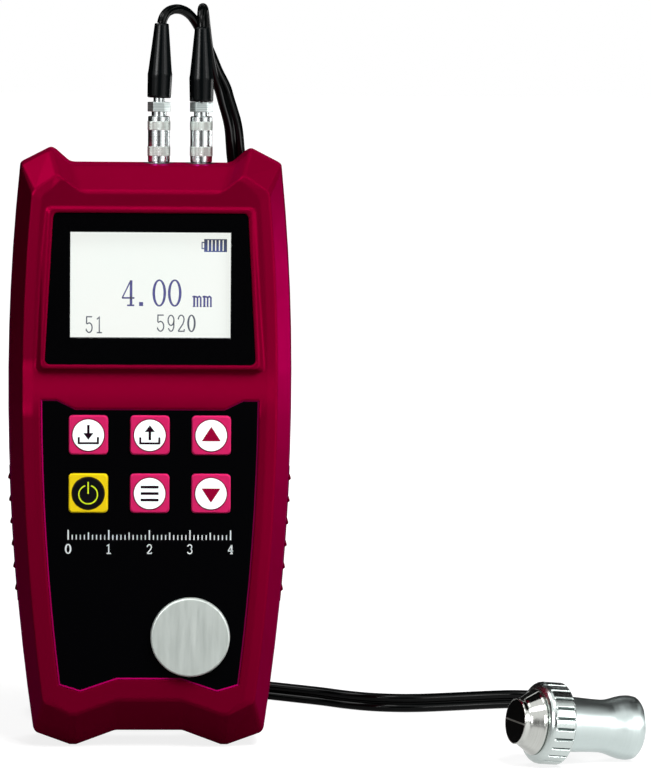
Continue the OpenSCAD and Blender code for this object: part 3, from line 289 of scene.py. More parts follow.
def new_tree(name, inputs, kind="GeometryNodeTree"):
    """A node tree with named inputs, as (label, socket type, value), their sockets and its end."""
    tree = bpy.data.node_groups.new(name, kind)
    if kind == "GeometryNodeTree":
        inputs = inputs + [("Material", "NodeSocketMaterial", None)]
        tree.interface.new_socket("Geometry", in_out="INPUT", socket_type="NodeSocketGeometry")
        tree.interface.new_socket("Geometry", in_out="OUTPUT", socket_type="NodeSocketGeometry")
    for label, socket_type, value in inputs:
        socket = tree.interface.new_socket(label, in_out="INPUT", socket_type=socket_type)
        if value is not None:
            socket.default_value = value
    return tree, tree.nodes.new("NodeGroupInput").outputs, tree.nodes.new("NodeGroupOutput")


def feed(tree, node, links):
    """Gives inputs a value to set, or a socket or a node's first output to link."""
    for label, value in links.items():
        if isinstance(value, bpy.types.Node):
            value = value.outputs[0]
        if isinstance(value, bpy.types.NodeSocket):
            tree.links.new(value, node.inputs[label])
        else:
            node.inputs[label].default_value = value


def add(tree, kind, links=None, **settings):
    """A new node of that kind, with its settings made and its inputs fed."""
    node = tree.nodes.new(kind)
    for label, value in settings.items():
        setattr(node, label, value)
    feed(tree, node, links or {})
    return node


def solve(tree, operation, *values, clamp=False):
    """The result of a maths node for sockets or numbers."""
    links = dict(enumerate(values))
    return add(tree, "ShaderNodeMath", links, operation=operation, use_clamp=clamp).outputs[0]


def solve_vector(tree, operation, *values):
    """The result of a vector maths node: a length and a dot product are numbers."""
    node = add(tree, "ShaderNodeVectorMath", dict(enumerate(values)), operation=operation)
    return node.outputs["Value" if operation in ("LENGTH", "DOT_PRODUCT") else "Vector"]


def finish_tree(tree, inputs, end, geometry):
    """Ends a geometry tree: instances become plain mesh and take the material."""
    whole = add(tree, "GeometryNodeRealizeInstances", {0: geometry})
    feed(tree, end, {"Geometry": add(tree, "GeometryNodeSetMaterial", {
        "Geometry": whole, "Material": inputs["Material"]})})


def bake(name, tree, finish_name, values, start=None):
    """Runs a geometry tree on a start mesh or on nothing, and keeps the result as a plain mesh."""
    values = {"Material": bpy.data.materials[finish_name], **values}
    maker = as_object(name + "_maker", start or bpy.data.meshes.new(name + "_start"))
    modifier = maker.modifiers.new("maker", "NODES")
    modifier.node_group = tree
    for item in tree.interface.items_tree:
        if item.item_type == "SOCKET" and item.in_out == "INPUT" and item.name in values:
            modifier[item.identifier] = values[item.name]
    graph = bpy.context.evaluated_depsgraph_get()
    data = bpy.data.meshes.new_from_object(maker.evaluated_get(graph), depsgraph=graph)
    data.name = name
    maker.modifiers.remove(modifier)
    bpy.data.objects.remove(maker)
    return as_object(name, data)


def line_mesh(name, line):
    """A mesh of points and edges only, for a tree to follow."""
    data = bpy.data.meshes.new(name)
    data.from_pydata([tuple(p) for p in line], [(i, i + 1) for i in range(len(line) - 1)], [])
    return data


# %% The tube tree
tube_tree, tube_in, tube_end = new_tree("tube_along_line", [
    ("Radius", FLOAT, 0.0012), ("Step", FLOAT, 0.0008), ("Sides", WHOLE, 16)])
as_curve = add(tube_tree, "GeometryNodeMeshToCurve", {0: tube_in["Geometry"]})
even = add(tube_tree, "GeometryNodeResampleCurve", {
    "Curve": as_curve, "Length": tube_in["Step"]}, mode="LENGTH")
ring = add(tube_tree, "GeometryNodeCurvePrimitiveCircle", {
    "Resolution": tube_in["Sides"], "Radius": tube_in["Radius"]})
tube = add(tube_tree, "GeometryNodeCurveToMesh", {
    "Curve": even, "Profile Curve": ring, "Fill Caps": True})
soft = add(tube_tree, "GeometryNodeSetShadeSmooth", {"Geometry": tube})
finish_tree(tube_tree, tube_in, tube_end, soft)
print("tube tree has inputs", [socket.name for socket in tube_in if socket.name])

# %% [markdown]
# ## Shared effects for the materials
#
# Moulded plastic, rubber and metal are never one flat colour: the gloss varies where the
# mould was polished, and light catches a fine skin. Such an effect could be copied into
# every material by hand. It is built once instead, as a shader node group with named
# inputs, and each material sets its own scale and strength. All patterns read Object
# coordinates, which are metres here, so a scale of 3000 gives grains a third of a
# millimetre wide.

# %% Helpers for materials
def paint(red, green, blue):
    """A colour given as 0 to 255 on a screen, as the linear values that a shader takes."""
    channels = [c / 255 for c in (red, green, blue)]
    linear = [c / 12.92 if c <= 0.04045 else ((c + 0.055) / 1.055) ** 2.4 for c in channels]
    return (*linear, 1.0)


def shader_group(name, inputs, outputs):
    """A shader node group with a Vector input, more named ones, and outputs that are numbers."""
    group = new_tree(name, [("Vector", VECTOR, None)] + inputs, "ShaderNodeTree")
    for label in outputs:
        group[0].interface.new_socket(label, in_out="OUTPUT", socket_type=FLOAT)
    return group


def finish(name, **sockets):
    """A new material. Each keyword is a constant socket of its shader, with _ for a space."""
    material = bpy.data.materials.new(name)
    material.use_nodes = True
    shader = material.node_tree.nodes["Principled BSDF"]
    for label, value in sockets.items():
        shader.inputs[label.replace("_", " ").title().replace("Ior", "IOR")].default_value = value
    return material.node_tree, shader


def place(tree, group, **inputs):
    """Puts a shader node group into a material. Each keyword is an input, with _ for a space."""
    links = {label.replace("_", " ").title(): value for label, value in inputs.items()}
    links["Vector"] = object_coordinates(tree)
    return add(tree, "ShaderNodeGroup", links, node_tree=group).outputs


def object_coordinates(tree):
    return add(tree, "ShaderNodeTexCoord").outputs["Object"]


def along_axes(tree, vector):
    """The X, Y and Z of a vector, as sockets by name."""
    return add(tree, "ShaderNodeSeparateXYZ", {0: vector}).outputs


def noise(tree, links, **settings):
    return add(tree, "ShaderNodeTexNoise", links, **settings).outputs["Fac"]


def ranged(tree, value, start, end, low=0.0, high=1.0, kind="LINEAR"):
    """Goes from low to high as the value goes from start to end."""
    node = add(tree, "ShaderNodeMapRange", {
        "Value": value, "From Min": start, "From Max": end, "To Min": low, "To Max": high,
    }, interpolation_type=kind)
    return node.outputs["Result"]


def blend_colours(tree, factor, first, second):
    """Mixes two colours, each a socket or a value. Returns the colour socket."""
    node = add(tree, "ShaderNodeMix", {0: factor, 6: first, 7: second}, data_type="RGBA")
    return node.outputs[2]


def bump(tree, shader, height, distance, round_edge=0.0):
    """Feeds a height from 0 to 1 into the shader's normal, as a bump of that depth in metres."""
    node = add(tree, "ShaderNodeBump", {"Height": height, "Distance": distance, "Strength": 1.0})
    if round_edge:
        edge = add(tree, "ShaderNodeBevel", {"Radius": round_edge}, samples=8)
        feed(tree, node, {"Normal": edge})
    feed(tree, shader, {"Normal": node})


# %% Groups: moulded skin, turned lines and brushed lines
def surface_group(name, smooth, dull, inputs):
    """A group that says how a surface looks. Smooth and Dull are the ends of its roughness."""
    ends = [("Smooth", FLOAT, smooth), ("Dull", FLOAT, dull)]
    return shader_group(name, inputs + ends, ["Roughness", "Height", "Pattern"])


def give_surface(tree, inputs, end, height, pattern, low, high):
    """The roughness goes from Smooth to Dull as the pattern goes from low to high."""
    roughness = ranged(tree, pattern, low, high, inputs["Smooth"], inputs["Dull"])
    feed(tree, end, {"Roughness": roughness, "Height": height, "Pattern": pattern})


skin_group, skin_in, skin_end = surface_group("moulded_skin", 0.3, 0.42, [
    ("Grain Scale", FLOAT, 3000.0), ("Patch Scale", FLOAT, 60.0)])
grain = noise(skin_group, {
    "Vector": skin_in["Vector"], "Scale": skin_in["Grain Scale"], "Detail": 2.0, "Roughness": 0.6})
patch = noise(skin_group, {
    "Vector": skin_in["Vector"], "Scale": skin_in["Patch Scale"], "Detail": 3.0, "Roughness": 0.55})
give_surface(skin_group, skin_in, skin_end, grain, patch, 0.3, 0.7)

turned_group, turned_in, turned_end = surface_group("turned_lines", 0.12, 0.3, [
    ("Axis", VECTOR, (0.0, 0.0, 1.0)), ("Line Scale", FLOAT, 4000.0)])
along = solve_vector(turned_group, "DOT_PRODUCT", turned_in["Vector"], turned_in["Axis"])
lines = noise(turned_group, {
    "W": along, "Scale": turned_in["Line Scale"], "Detail": 2.0}, noise_dimensions="1D")
give_surface(turned_group, turned_in, turned_end, lines, lines, 0.25, 0.75)

brushed_group, brushed_in, brushed_end = surface_group("brushed_lines", 0.2, 0.4, [
    ("Stretch", VECTOR, (300.0, 300.0, 9000.0))])
stretched = solve_vector(brushed_group, "MULTIPLY", brushed_in["Vector"], brushed_in["Stretch"])
scratches = noise(brushed_group, {
    "Vector": stretched, "Scale": 1.0, "Detail": 3.0, "Roughness": 0.65})
give_surface(brushed_group, brushed_in, brushed_end, scratches, scratches, 0.3, 0.7)


# %% Groups: a printed disc and a printed frame
def give_mask(tree, inputs, end, inside):
    """The mask is 1 inside, and falls to 0 over the width of the edge."""
    feed(tree, end, {"Mask": solve(tree, "DIVIDE", inside, inputs["Edge"], clamp=True)})


disc_group, disc_in, disc_end = shader_group("printed_disc", [
    ("Centre", VECTOR, (0.0, 0.0, 0.0)), ("Radius", FLOAT, 0.004), ("Edge", FLOAT, 0.00006),
], ["Mask"])
from_centre = solve_vector(disc_group, "SUBTRACT", disc_in["Vector"], disc_in["Centre"])
in_face = solve_vector(disc_group, "MULTIPLY", from_centre, (1.0, 0.0, 1.0))
distance = solve_vector(disc_group, "LENGTH", in_face)
give_mask(disc_group, disc_in, disc_end,
          solve(disc_group, "SUBTRACT", disc_in["Radius"], distance))

opening_group, opening_in, opening_end = shader_group("printed_opening", [
    ("Centre", VECTOR, (0.0, 0.0, 0.0)), ("Half Width", FLOAT, 0.02),
    ("Half Height", FLOAT, 0.013), ("Edge", FLOAT, 0.00008),
], ["Mask"])
from_centre = solve_vector(opening_group, "SUBTRACT", opening_in["Vector"], opening_in["Centre"])
away = along_axes(opening_group, solve_vector(opening_group, "ABSOLUTE", from_centre))
beside = solve(opening_group, "SUBTRACT", opening_in["Half Width"], away["X"])
above = solve(opening_group, "SUBTRACT", opening_in["Half Height"], away["Z"])
give_mask(opening_group, opening_in, opening_end, solve(opening_group, "MINIMUM", beside, above))
print("shader groups:", [g.name for g in bpy.data.node_groups if g.bl_idname == "ShaderNodeTree"])

# %% [markdown]
# ## Finishes of the case
#
# The case is moulded in deep crimson and has a semi-gloss skin, so its bevels catch a bright
# band and its flat face stays even. A plain plastic shader turns whitish where it is seen at
# a shallow angle. Here the shader is partly metallic and has no plain gloss, so the crimson
# tints what the skin mirrors, and the tint at shallow angles is pink. Moulded edges are never
# sharp: a Bevel node rounds the normals at the edges, and the CAD mesh stays as it is.

# %% Moulded and rubber finishes
def surfaced(name, group, first, second, depth, round_edge, constants, **inputs):
    """A finish whose colour, gloss and skin follow one surface group."""
    tree, shader = finish(name, **constants)
    surface = place(tree, group, **inputs)
    feed(tree, shader, {
        "Base Color": blend_colours(tree, surface["Pattern"], paint(*first), paint(*second)),
        "Roughness": surface["Roughness"]})
    bump(tree, shader, surface["Height"], depth, round_edge)


def moulded(
        name, first, second, smooth, dull, grain_scale=3000.0, depth=0.00001, patch_scale=60.0,
        round_edge=0.0, **constants):
    """A moulded surface: two near colours in soft patches, a varied gloss and a fine skin."""
    surfaced(name, skin_group, first, second, depth, round_edge, constants,
             smooth=smooth, dull=dull, grain_scale=grain_scale, patch_scale=patch_scale)


crimson_gloss = {"specular_ior_level": 0.0, "specular_tint": (1.0, 0.05, 0.8, 1.0)}
moulded("case_crimson", (121, 0, 38), (115, 0, 34), 0.28, 0.36, depth=0.000003,
        round_edge=0.0009, metallic=0.42, **crimson_gloss)
moulded("rear_crimson", (118, 0, 36), (111, 0, 33), 0.36, 0.46, 2200.0,
        round_edge=0.001, metallic=0.35, **crimson_gloss)
moulded("grip_rubber", (92, 0, 27), (82, 0, 23), 0.5, 0.62, 2600.0, 0.00002,
        round_edge=0.0004, metallic=0.2, **{**crimson_gloss, "specular_ior_level": 0.04})
# The edge of the panel's recess is a lighter, pinker copy of the crimson: a painted highlight
moulded("edge_pink", (138, 0, 70), (126, 0, 62), 0.3, 0.4, depth=0.000002, metallic=0.4,
        **crimson_gloss)
moulded("panel_black", (2, 2, 3), (0, 0, 1), 0.4, 0.5, 4200.0, 0.000004, specular_ior_level=0.02)
moulded("black_plastic", (18, 18, 19), (12, 12, 13), 0.4, 0.5)
moulded("boot_rubber", (5, 8, 9), (3, 5, 6), 0.16, 0.22, 3500.0, 0.000002, round_edge=0.0008,
        specular_ior_level=0.17)
moulded("jacket_black", (3, 4, 4), (1, 2, 2), 0.12, 0.18, 2500.0, 0.000002,
        specular_ior_level=0.14)
moulded("lens_black", (2, 2, 2), (0, 0, 0), 0.5, 0.6, 5000.0, specular_ior_level=0.02)

# Between the display and the keypad the face slopes back a little as it rises. The slope is a
# bump under the skin's own one, and acts only on what faces the front.
SLOPE_FROM, SLOPE_TO, SLOPE_DEPTH, FRONT_SHARE = 0.0975, 0.0825, 0.004, (0.85, 0.95)
tree = bpy.data.materials["case_crimson"].node_tree
skin = tree.nodes["Principled BSDF"].inputs["Normal"].links[0].from_node
height = along_axes(tree, object_coordinates(tree))["Z"]
normal = add(tree, "ShaderNodeTexCoord").outputs["Normal"]
to_front = solve_vector(tree, "DOT_PRODUCT", normal, (0.0, -1.0, 0.0))
feed(tree, skin, {"Normal": add(tree, "ShaderNodeBump", {
    "Height": ranged(tree, height, SLOPE_FROM, SLOPE_TO, kind="SMOOTHSTEP"),
    "Distance": SLOPE_DEPTH, "Strength": ranged(tree, to_front, *FRONT_SHARE),
    "Normal": skin.inputs["Normal"].links[0].from_socket})})
print("moulded finishes made:", len(bpy.data.materials))

# %% [markdown]
# ## Metal finishes
#
# The plugs are plated brass, the probe is turned steel with a satin surface, and the test
# block in the panel is steel with fine brush marks. Metal shows little colour of its own: it
# shows the room, so roughness does the work. Lines that run round a turned part are a
# noise in one dimension, read along the axis of the part.
# The flutes of the probe's ring are darkened with painted shade.

# %% Metal finishes
PROBE_AXIS = tuple(Vector((-0.934005, -0.33995, 0.1098573)).normalized())
PROBE_ORIGIN = tuple(Vector((100.1, -33.5, 9.8955)) * MM)


def turned_metal(
        name, dark, light, axis, smooth, dull, line_scale=4000.0, depth=0.000001, round_edge=0.0,
        metallic=1.0):
    """Metal with fine lines that run round an axis."""
    surfaced(name, turned_group, dark, light, depth, round_edge, {"metallic": metallic},
             axis=axis, line_scale=line_scale, smooth=smooth, dull=dull)


def brushed_metal(
        name, dark, light, stretch, smooth, dull, depth=0.000006, round_edge=0.0, metallic=1.0):
    """Metal with fine brush marks, long where the stretch is small."""
    surfaced(name, brushed_group, dark, light, depth, round_edge, {"metallic": metallic},
             stretch=stretch, smooth=smooth, dull=dull)


UP, BACK = (0.0, 0.0, 1.0), (0.0, 1.0, 0.0)
turned_metal("plug_chrome", (210, 216, 216), (232, 238, 238), UP, 0.17, 0.26)
turned_metal("collet_chrome", (196, 208, 206), (216, 226, 224), UP, 0.22, 0.3,
             round_edge=0.0003, metallic=0.5)
turned_metal("socket_chrome", (96, 98, 100), (120, 122, 124), UP, 0.3, 0.4)
turned_metal("knurl_satin", (196, 206, 200), (214, 222, 217), UP, 0.34, 0.42)
turned_metal("screw_steel", (70, 70, 73), (96, 96, 99), BACK, 0.25, 0.4)
turned_metal("probe_satin", (198, 210, 208), (204, 215, 213), PROBE_AXIS, 0.31, 0.34,
             2500.0, 0.0000001, 0.0009)
turned_metal("ring_steel", (198, 208, 205), (206, 215, 212), PROBE_AXIS, 0.2, 0.24,
             3000.0, 0.0000002, 0.0003)
turned_metal("nose_chrome", (196, 198, 193), (210, 212, 207), PROBE_AXIS, 0.06, 0.1,
             3000.0, 0.0000001, 0.0007)
brushed_metal("block_steel", (200, 210, 204), (226, 233, 228), (900.0, 300.0, 90.0), 0.3, 0.46,
              0.0000006, 0.0003, 0.6)
brushed_metal("spring_steel", (170, 172, 174), (200, 202, 204), (4000.0, 4000.0, 400.0), 0.22, 0.38)
brushed_metal("cell_can", (60, 62, 66), (86, 88, 92), (5000.0, 5000.0, 200.0), 0.28, 0.4)

# Painted shade fills the flutes of the ring: the colour is dark where the surface lies inside its
# radius
FLUTE_RADII = (0.0099, 0.0097)
FLUTE_ENDS = ((0.0052, 0.0047), (0.0002, 0.0005))
tree = bpy.data.materials["ring_steel"].node_tree
shader = tree.nodes["Principled BSDF"]
from_ring = solve_vector(tree, "SUBTRACT", object_coordinates(tree), PROBE_ORIGIN)
ahead = solve_vector(tree, "DOT_PRODUCT", from_ring, PROBE_AXIS)
across = solve_vector(tree, "CROSS_PRODUCT", from_ring, PROBE_AXIS)
flute_painted_shade = ranged(tree, solve_vector(tree, "LENGTH", across), *FLUTE_RADII)
for limits in FLUTE_ENDS:
    flute_painted_shade = solve(tree, "MULTIPLY", flute_painted_shade, ranged(tree, ahead, *limits))
steel = shader.inputs["Base Color"].links[0].from_socket
feed(tree, shader, {"Base Color": blend_colours(tree, flute_painted_shade, steel, paint(52, 62, 60))})

# %% Finishes inside the case
moulded("board_green", (10, 84, 44), (14, 100, 52), 0.3, 0.45, 1500.0, patch_scale=400.0)
moulded("cork_sheet", (132, 132, 126), (104, 104, 98), 0.8, 0.9, 2500.0, 0.00003, 1500.0)
moulded("crystal_ceramic", (222, 212, 178), (206, 194, 158), 0.4, 0.5)
moulded("light_guide", (238, 238, 232), (228, 228, 222), 0.4, 0.5)
moulded("backing_resin", (66, 66, 70), (50, 50, 53), 0.5, 0.6)

# %% [markdown]
# ## The tails
#
# Each tail is one strand of the twin, split off near the plugs, and it arches over from the
# tip of its rubber boot. The tube tree draws it, and the result is kept as a plain mesh, so
# the exported model carries no modifier.

TAIL_STEP, TUBE_STEP, TUBE_SIDES = 0.0007, 0.0008, 16
for name, node, points, boot_way in (
        ("left_tail", "tail_left", left_tail_points, LEFT_WAY),
        ("right_tail", "tail_right", right_tail_points, RIGHT_WAY)):
    line, _ = smooth_line(in_metres(points), boot_way, JOIN_WAY, TAIL_STEP)
    piece = bake(name, tube_tree, "jacket_black", {
        "Radius": STRAND_RADIUS * MM, "Step": TUBE_STEP, "Sides": TUBE_SIDES,
    }, line_mesh(name, line))
    belongs(piece, MAIN_BODY)
    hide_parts(node)
    print(f"{name} {length_of(line) * 1000:.1f} mm long")

belongs(twin_lead, MAIN_BODY, "jacket_black")
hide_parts("lead_drop", "lead_coil", "lead_run")

# %% [markdown]
# ## Floor, world and lamps
#
# The gauge stands on a white sweep in a plain studio: one large soft lamp from the upper
# right, a weaker one from behind, and a bright room. The picture's background is white
# because of its own colour: the world is white to the camera and in reflections, and dimmer
# where it lights the object. The floor keeps the soft shadow, and a glossy ray finds it dark
# on the left and light on the right. Soft boxes and black cards stand round the gauge. Only
# reflections see them, and they draw the light and dark lines on chrome, paint and rubber.

# %% Floor and world
def staging(name, quads, finish_name):
    """An object of four-sided faces that is part of the studio and not of the gauge."""
    data = bpy.data.meshes.new(name)
    corners = [corner for quad in quads for corner in quad]
    data.from_pydata(corners, [], [range(i, i + 4) for i in range(0, len(corners), 4)])
    data.materials.append(bpy.data.materials[finish_name])
    sheet = as_object(name, data)
    return sheet


WHITE, FLOOR_GREY, ROOM_LIGHT = (1.0, 1.0, 1.0, 1.0), (0.17, 0.17, 0.17, 1.0), 0.075
# What the floor adds: from and to a place in metres, and from and to a brightness. To a glossy
# ray it is light on the right, less so behind, and in a strip in front.
SEEN_WHITE = (0.1, 0.8, 0.84, 1.0)
TO_RIGHT, NOT_BEHIND = (0.04, 0.1, 0.03, 0.72), (0.03, 0.09, 1.0, 0.2)
STRIP_START, STRIP_END = (-0.018, -0.026, 0.0, 0.34), (-0.06, -0.045)
tree, shader = finish(
    "floor_white", roughness=0.8, specular_ior_level=0.1, base_color=FLOOR_GREY,
    emission_color=WHITE)
path = add(tree, "ShaderNodeLightPath").outputs
where = object_coordinates(tree)
spot = along_axes(tree, where)
looked_at = solve(tree, "MAXIMUM", path["Is Camera Ray"], path["Is Transmission Ray"])
white = ranged(tree, solve_vector(tree, "LENGTH", where), *SEEN_WHITE)
beside = solve(
    tree, "MULTIPLY", ranged(tree, spot["X"], *TO_RIGHT), ranged(tree, spot["Y"], *NOT_BEHIND))
strip = solve(
    tree, "MULTIPLY", ranged(tree, spot["Y"], *STRIP_START), ranged(tree, spot["Y"], *STRIP_END))
mirrored = solve(
    tree, "MULTIPLY", path["Is Glossy Ray"], solve(tree, "MAXIMUM", beside, strip))
lift = solve(tree, "ADD", solve(tree, "MULTIPLY", looked_at, white), mirrored)
feed(tree, shader, {"Emission Strength": lift})
staging("studio_floor", [[(-6, -6, 0), (6, -6, 0), (6, 12, 0), (-6, 12, 0)]], "floor_white")

world = bpy.data.worlds.new("studio_room")
bpy.context.scene.world = world
world.use_nodes = True
tree = world.node_tree
tree.nodes.clear()
path = add(tree, "ShaderNodeLightPath").outputs
seen = solve(tree, "MAXIMUM", path["Is Camera Ray"], path["Is Glossy Ray"])
seen = solve(tree, "MAXIMUM", seen, path["Is Transmission Ray"])
room, white = (
    add(tree, "ShaderNodeBackground", {"Color": WHITE, "Strength": strength})
    for strength in (ROOM_LIGHT, 1.0))
mixed = add(tree, "ShaderNodeMixShader", {0: seen, 1: room, 2: white})
add(tree, "ShaderNodeOutputWorld", {"Surface": mixed})

# %% Lamps
AIM_HEIGHT = 0.1


def soft_lamp(name, place_at, aim_at, size, power):
    data = bpy.data.lights.new(name, "AREA")
    data.shape = "RECTANGLE"
    data.size, data.size_y = size
    data.energy = power
    lamp = as_object(name, data)
    lamp.location = place_at
    lamp.rotation_euler = (Vector(aim_at) - Vector(place_at)).to_track_quat("-Z", "Y").to_euler()
    return lamp


key_lamp = soft_lamp("key_lamp", (0.4, -0.575, 1.0), (0, 0, 0.08), (0.5, 0.5), 25.0)
rim_lamp = soft_lamp("rim_lamp", (0.3, 1.1, 0.7), (0.02, 0, 0.08), (0.7, 0.4), 18.0)
for lamp in (key_lamp, rim_lamp):
    lamp.visible_glossy = False


def shine(name, azimuth, low, high, width, brightness, distance=1.1):
    """A soft box that only reflections see, at an angle seen from above and between two heights."""
    angle, height = radians(azimuth), (low + high) / 2
    spot = (distance * sin(angle), -distance * cos(angle), height)
    size = (width, high - low)
    power = brightness * pi * size[0] * size[1]
    lamp = soft_lamp(name, spot, (0, 0, min(height, AIM_HEIGHT)), size, power)
    lamp.visible_diffuse = False
    lamp.visible_camera = False
    return lamp


# Name, angle, lower and upper edge, width, brightness and distance
shines = [
    shine("left_box", -36, 0.2, 0.6, 0.36, 11.0),
    shine("right_line", 48, 0.3, 0.62, 0.08, 6.0),
    shine("right_box", 58, 0.22, 0.75, 0.72, 1.5, 1.12),
    shine("low_line", 120, 0.006, 0.12, 0.8, 6.0),
    shine("rim_line", 50, 0.055, 0.115, 0.2, 6.0, 0.33),
    shine("high_left", -93, 0.7, 1.05, 0.36, 4.0, 0.6),
    shine("high_front", -21, 0.85, 1.15, 0.4, 6.0, 0.62),
]
print("lamps:", [(lamp.name, round(lamp.data.energy, 1)) for lamp in [key_lamp, rim_lamp] + shines])

# %% Dark panels that only reflections see
PANEL_RADIUS, PANEL_FOOT, PANEL_ANGLE = 1.16, 0.004, 6
CARD_BLACK = (0.01, 0.01, 0.01, 1.0)
# Upright ones have two angles and a height, level ones two ends along X and along Y and a height
UPRIGHT_PANELS = [(-15, 17, 0.8), (-210, -74, 1.0), (58, 74, 0.21), (74, 150, 1.0)]
LEVEL_PANELS = [(-0.9, 0.24, 0.12, 1.1, 1.15), (0.25, 1.0, -0.35, 1.1, 1.15)]
quads = []
for start, end, height in UPRIGHT_PANELS:
    count = max(2, int((end - start) / PANEL_ANGLE))
    angles = [radians(start + (end - start) * i / count) for i in range(count + 1)]
    feet = [(PANEL_RADIUS * sin(a), -PANEL_RADIUS * cos(a)) for a in angles]
    for a, b in zip(feet, feet[1:]):
        quads.append([(*a, PANEL_FOOT), (*b, PANEL_FOOT), (*b, height), (*a, height)])
for x0, x1, y0, y1, z in LEVEL_PANELS:
    quads.append([(x0, y0, z), (x1, y0, z), (x1, y1, z), (x0, y1, z)])

finish("card_black", roughness=1.0, specular_ior_level=0.0, base_color=CARD_BLACK)
panels = staging("dark_panels", quads, "card_black")
panels.visible_camera = False
panels.visible_diffuse = False
panels.visible_transmission = False
panels.visible_shadow = False

# %% [markdown]
# ## The display window and the keys
#
# The window is one clear pane with a black border printed behind it. It could be two pieces
# of glass, but a mask does it in one: inside the printed opening the pane is nearly clear,
# and outside it is gloss black. The keys work the same way. Each key is pink rubber, with a
# white disc and a thin darker ring round it, and the printed_disc group gives both edges.
# The white discs of the pink keys glow a little with painted light.

# %% Window, display and key finishes
LIT_CENTRE, LIT_HALF_WIDTH, LIT_HALF_HEIGHT = Vector((0, 0, 115.5)), 19.7, 13.0
CLEAR_ALPHA = 0.04
tree, shader = finish("window_pane", specular_ior_level=0.35)
opening = place(
    tree, opening_group, centre=tuple(LIT_CENTRE * MM), half_width=LIT_HALF_WIDTH * MM,
    half_height=LIT_HALF_HEIGHT * MM)["Mask"]
skin = place(tree, skin_group, patch_scale=90.0, smooth=0.05, dull=0.09)
feed(tree, shader, {
    "Base Color": blend_colours(tree, opening, paint(3, 3, 4), paint(240, 245, 243)),
    "Alpha": ranged(tree, opening, 0.0, 1.0, 1.0, CLEAR_ALPHA), "Roughness": skin["Roughness"]})

tree, shader = finish(
    "display_glass", roughness=0.35, specular_ior_level=0.1, base_color=paint(70, 74, 72),
    emission_strength=0.9)
patches = place(tree, skin_group, patch_scale=28.0)["Pattern"]
tint = blend_colours(tree, patches, paint(255, 253, 249), paint(246, 255, 249))
feed(tree, shader, {"Emission Color": tint})

KEY_COLUMNS, KEY_ROWS = (-15.1, 0.0, 15.1), (78.56, 64.16)
KEY_ORDER = (("key_store", "key_recall", "key_up"), ("key_power", "key_menu", "key_down"))
KEY_CENTRES = {
    key: (x, z) for z, row in zip(KEY_ROWS, KEY_ORDER) for x, key in zip(KEY_COLUMNS, row)}
RING_RADIUS, DISC_RADIUS, KEY_SKIN, KEY_EDGE = 4.16, 3.88, 0.000015, 0.0003
# Colours of the cap, of its patches, of the ring and of the disc, and the strength of the painted
# light in the disc
PINK_KEY = ((211, 36, 102), (198, 26, 90), (118, 0, 48), (246, 253, 252), 0.19)
YELLOW_KEY = ((236, 208, 18), (228, 196, 12), (40, 30, 2), (2, 2, 4), 0.0)


def key_finish(key, centre, cap, cap_dark, ring_colour, disc_colour, disc_painted_light):
    """A rubber key with a thin printed ring and a disc, from two masks round its centre. Painted
    light can make the disc glow.
    """
    tree, shader = finish(key + "_rubber", specular_ior_level=0.1)
    middle = (centre[0] * MM, 0.0, centre[1] * MM)
    skin = place(tree, skin_group, grain_scale=3200.0, patch_scale=500.0, smooth=0.4, dull=0.5)
    ring, disc = (
        place(tree, disc_group, centre=middle, radius=radius * MM)["Mask"]
        for radius in (RING_RADIUS, DISC_RADIUS))
    rubber = blend_colours(tree, skin["Pattern"], paint(*cap), paint(*cap_dark))
    ringed = blend_colours(tree, ring, rubber, paint(*ring_colour))
    printed = blend_colours(tree, disc, ringed, paint(*disc_colour))
    feed(tree, shader, {"Base Color": printed, "Roughness": skin["Roughness"]})
    # The white disc glows with painted light, though it is no lamp
    if disc_painted_light:
        feed(tree, shader, {
            "Emission Color": paint(*disc_colour),
            "Emission Strength": solve(tree, "MULTIPLY", disc, disc_painted_light)})
    bump(tree, shader, skin["Height"], KEY_SKIN, KEY_EDGE)


for key, centre in KEY_CENTRES.items():
    key_finish(key, centre, *(YELLOW_KEY if key == "key_power" else PINK_KEY))
print("keys finished:", sorted(KEY_CENTRES))

# %% [markdown]
# ## Give every CAD piece its finish
#
# The CAD pieces come with a plain colour each. Their meshes stay as they are and only the
# material slots change, so one table of finishes and their pieces is all that is needed.

# %% Dress the CAD pieces
PIECES_BY_FINISH = {
    "case_crimson": "front_shell", "rear_crimson": "rear_shell battery_door",
    "grip_rubber": "side_grip_left side_grip_right", "panel_black": "keypad_overlay",
    "window_pane": "display_window", "display_glass": "lcd_panel", "light_guide": "backlight",
    "board_green": "main_board", "spring_steel": "key_domes contact_springs contact_plates",
    "black_plastic": "buzzer", "block_steel": "test_block", "cell_can": "cell_left cell_right",
    "screw_steel": "case_screws board_screws", "socket_chrome": "socket_left socket_right",
    "collet_chrome": "socket_nuts collet_nut_left collet_nut_right",
    "plug_chrome": "plug_left plug_right release_sleeve_left release_sleeve_right",
    "boot_rubber": "boot_left boot_right lead_relief", "probe_satin": "probe_body",
    "ring_steel": "probe_ring", "nose_chrome": "probe_nose", "lens_black": "delay_lines",
    "cork_sheet": "sound_barrier", "crystal_ceramic": "crystals",
    "backing_resin": "backing_block", **{key + "_rubber": key for key in KEY_CENTRES},
}
dressed = set()
for finish_name, nodes in PIECES_BY_FINISH.items():
    for node in nodes.split():
        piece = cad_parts[node]
        if not piece.material_slots:
            piece.data.materials.append(None)
        for slot in piece.material_slots:
            slot.material = bpy.data.materials[finish_name]
        dressed.add(node)
undressed = sorted(set(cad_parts) - dressed)
print(f"{len(dressed)} pieces dressed, left to their replacements: {undressed}")

# %% [markdown]
# ## Flat signs from pen strokes
#
# The display shows thin dark digits, and the keys carry small signs. Each could be a text
# object, but a font brings its own outline and hundreds of points. Here a sign is drawn as
# a pen would draw it: a stroke has a path and a width, and becomes a thin closed ribbon.

# %% Ribbons, rings and filled shapes in the plane of the face
MITRE_LIMIT = 0.5


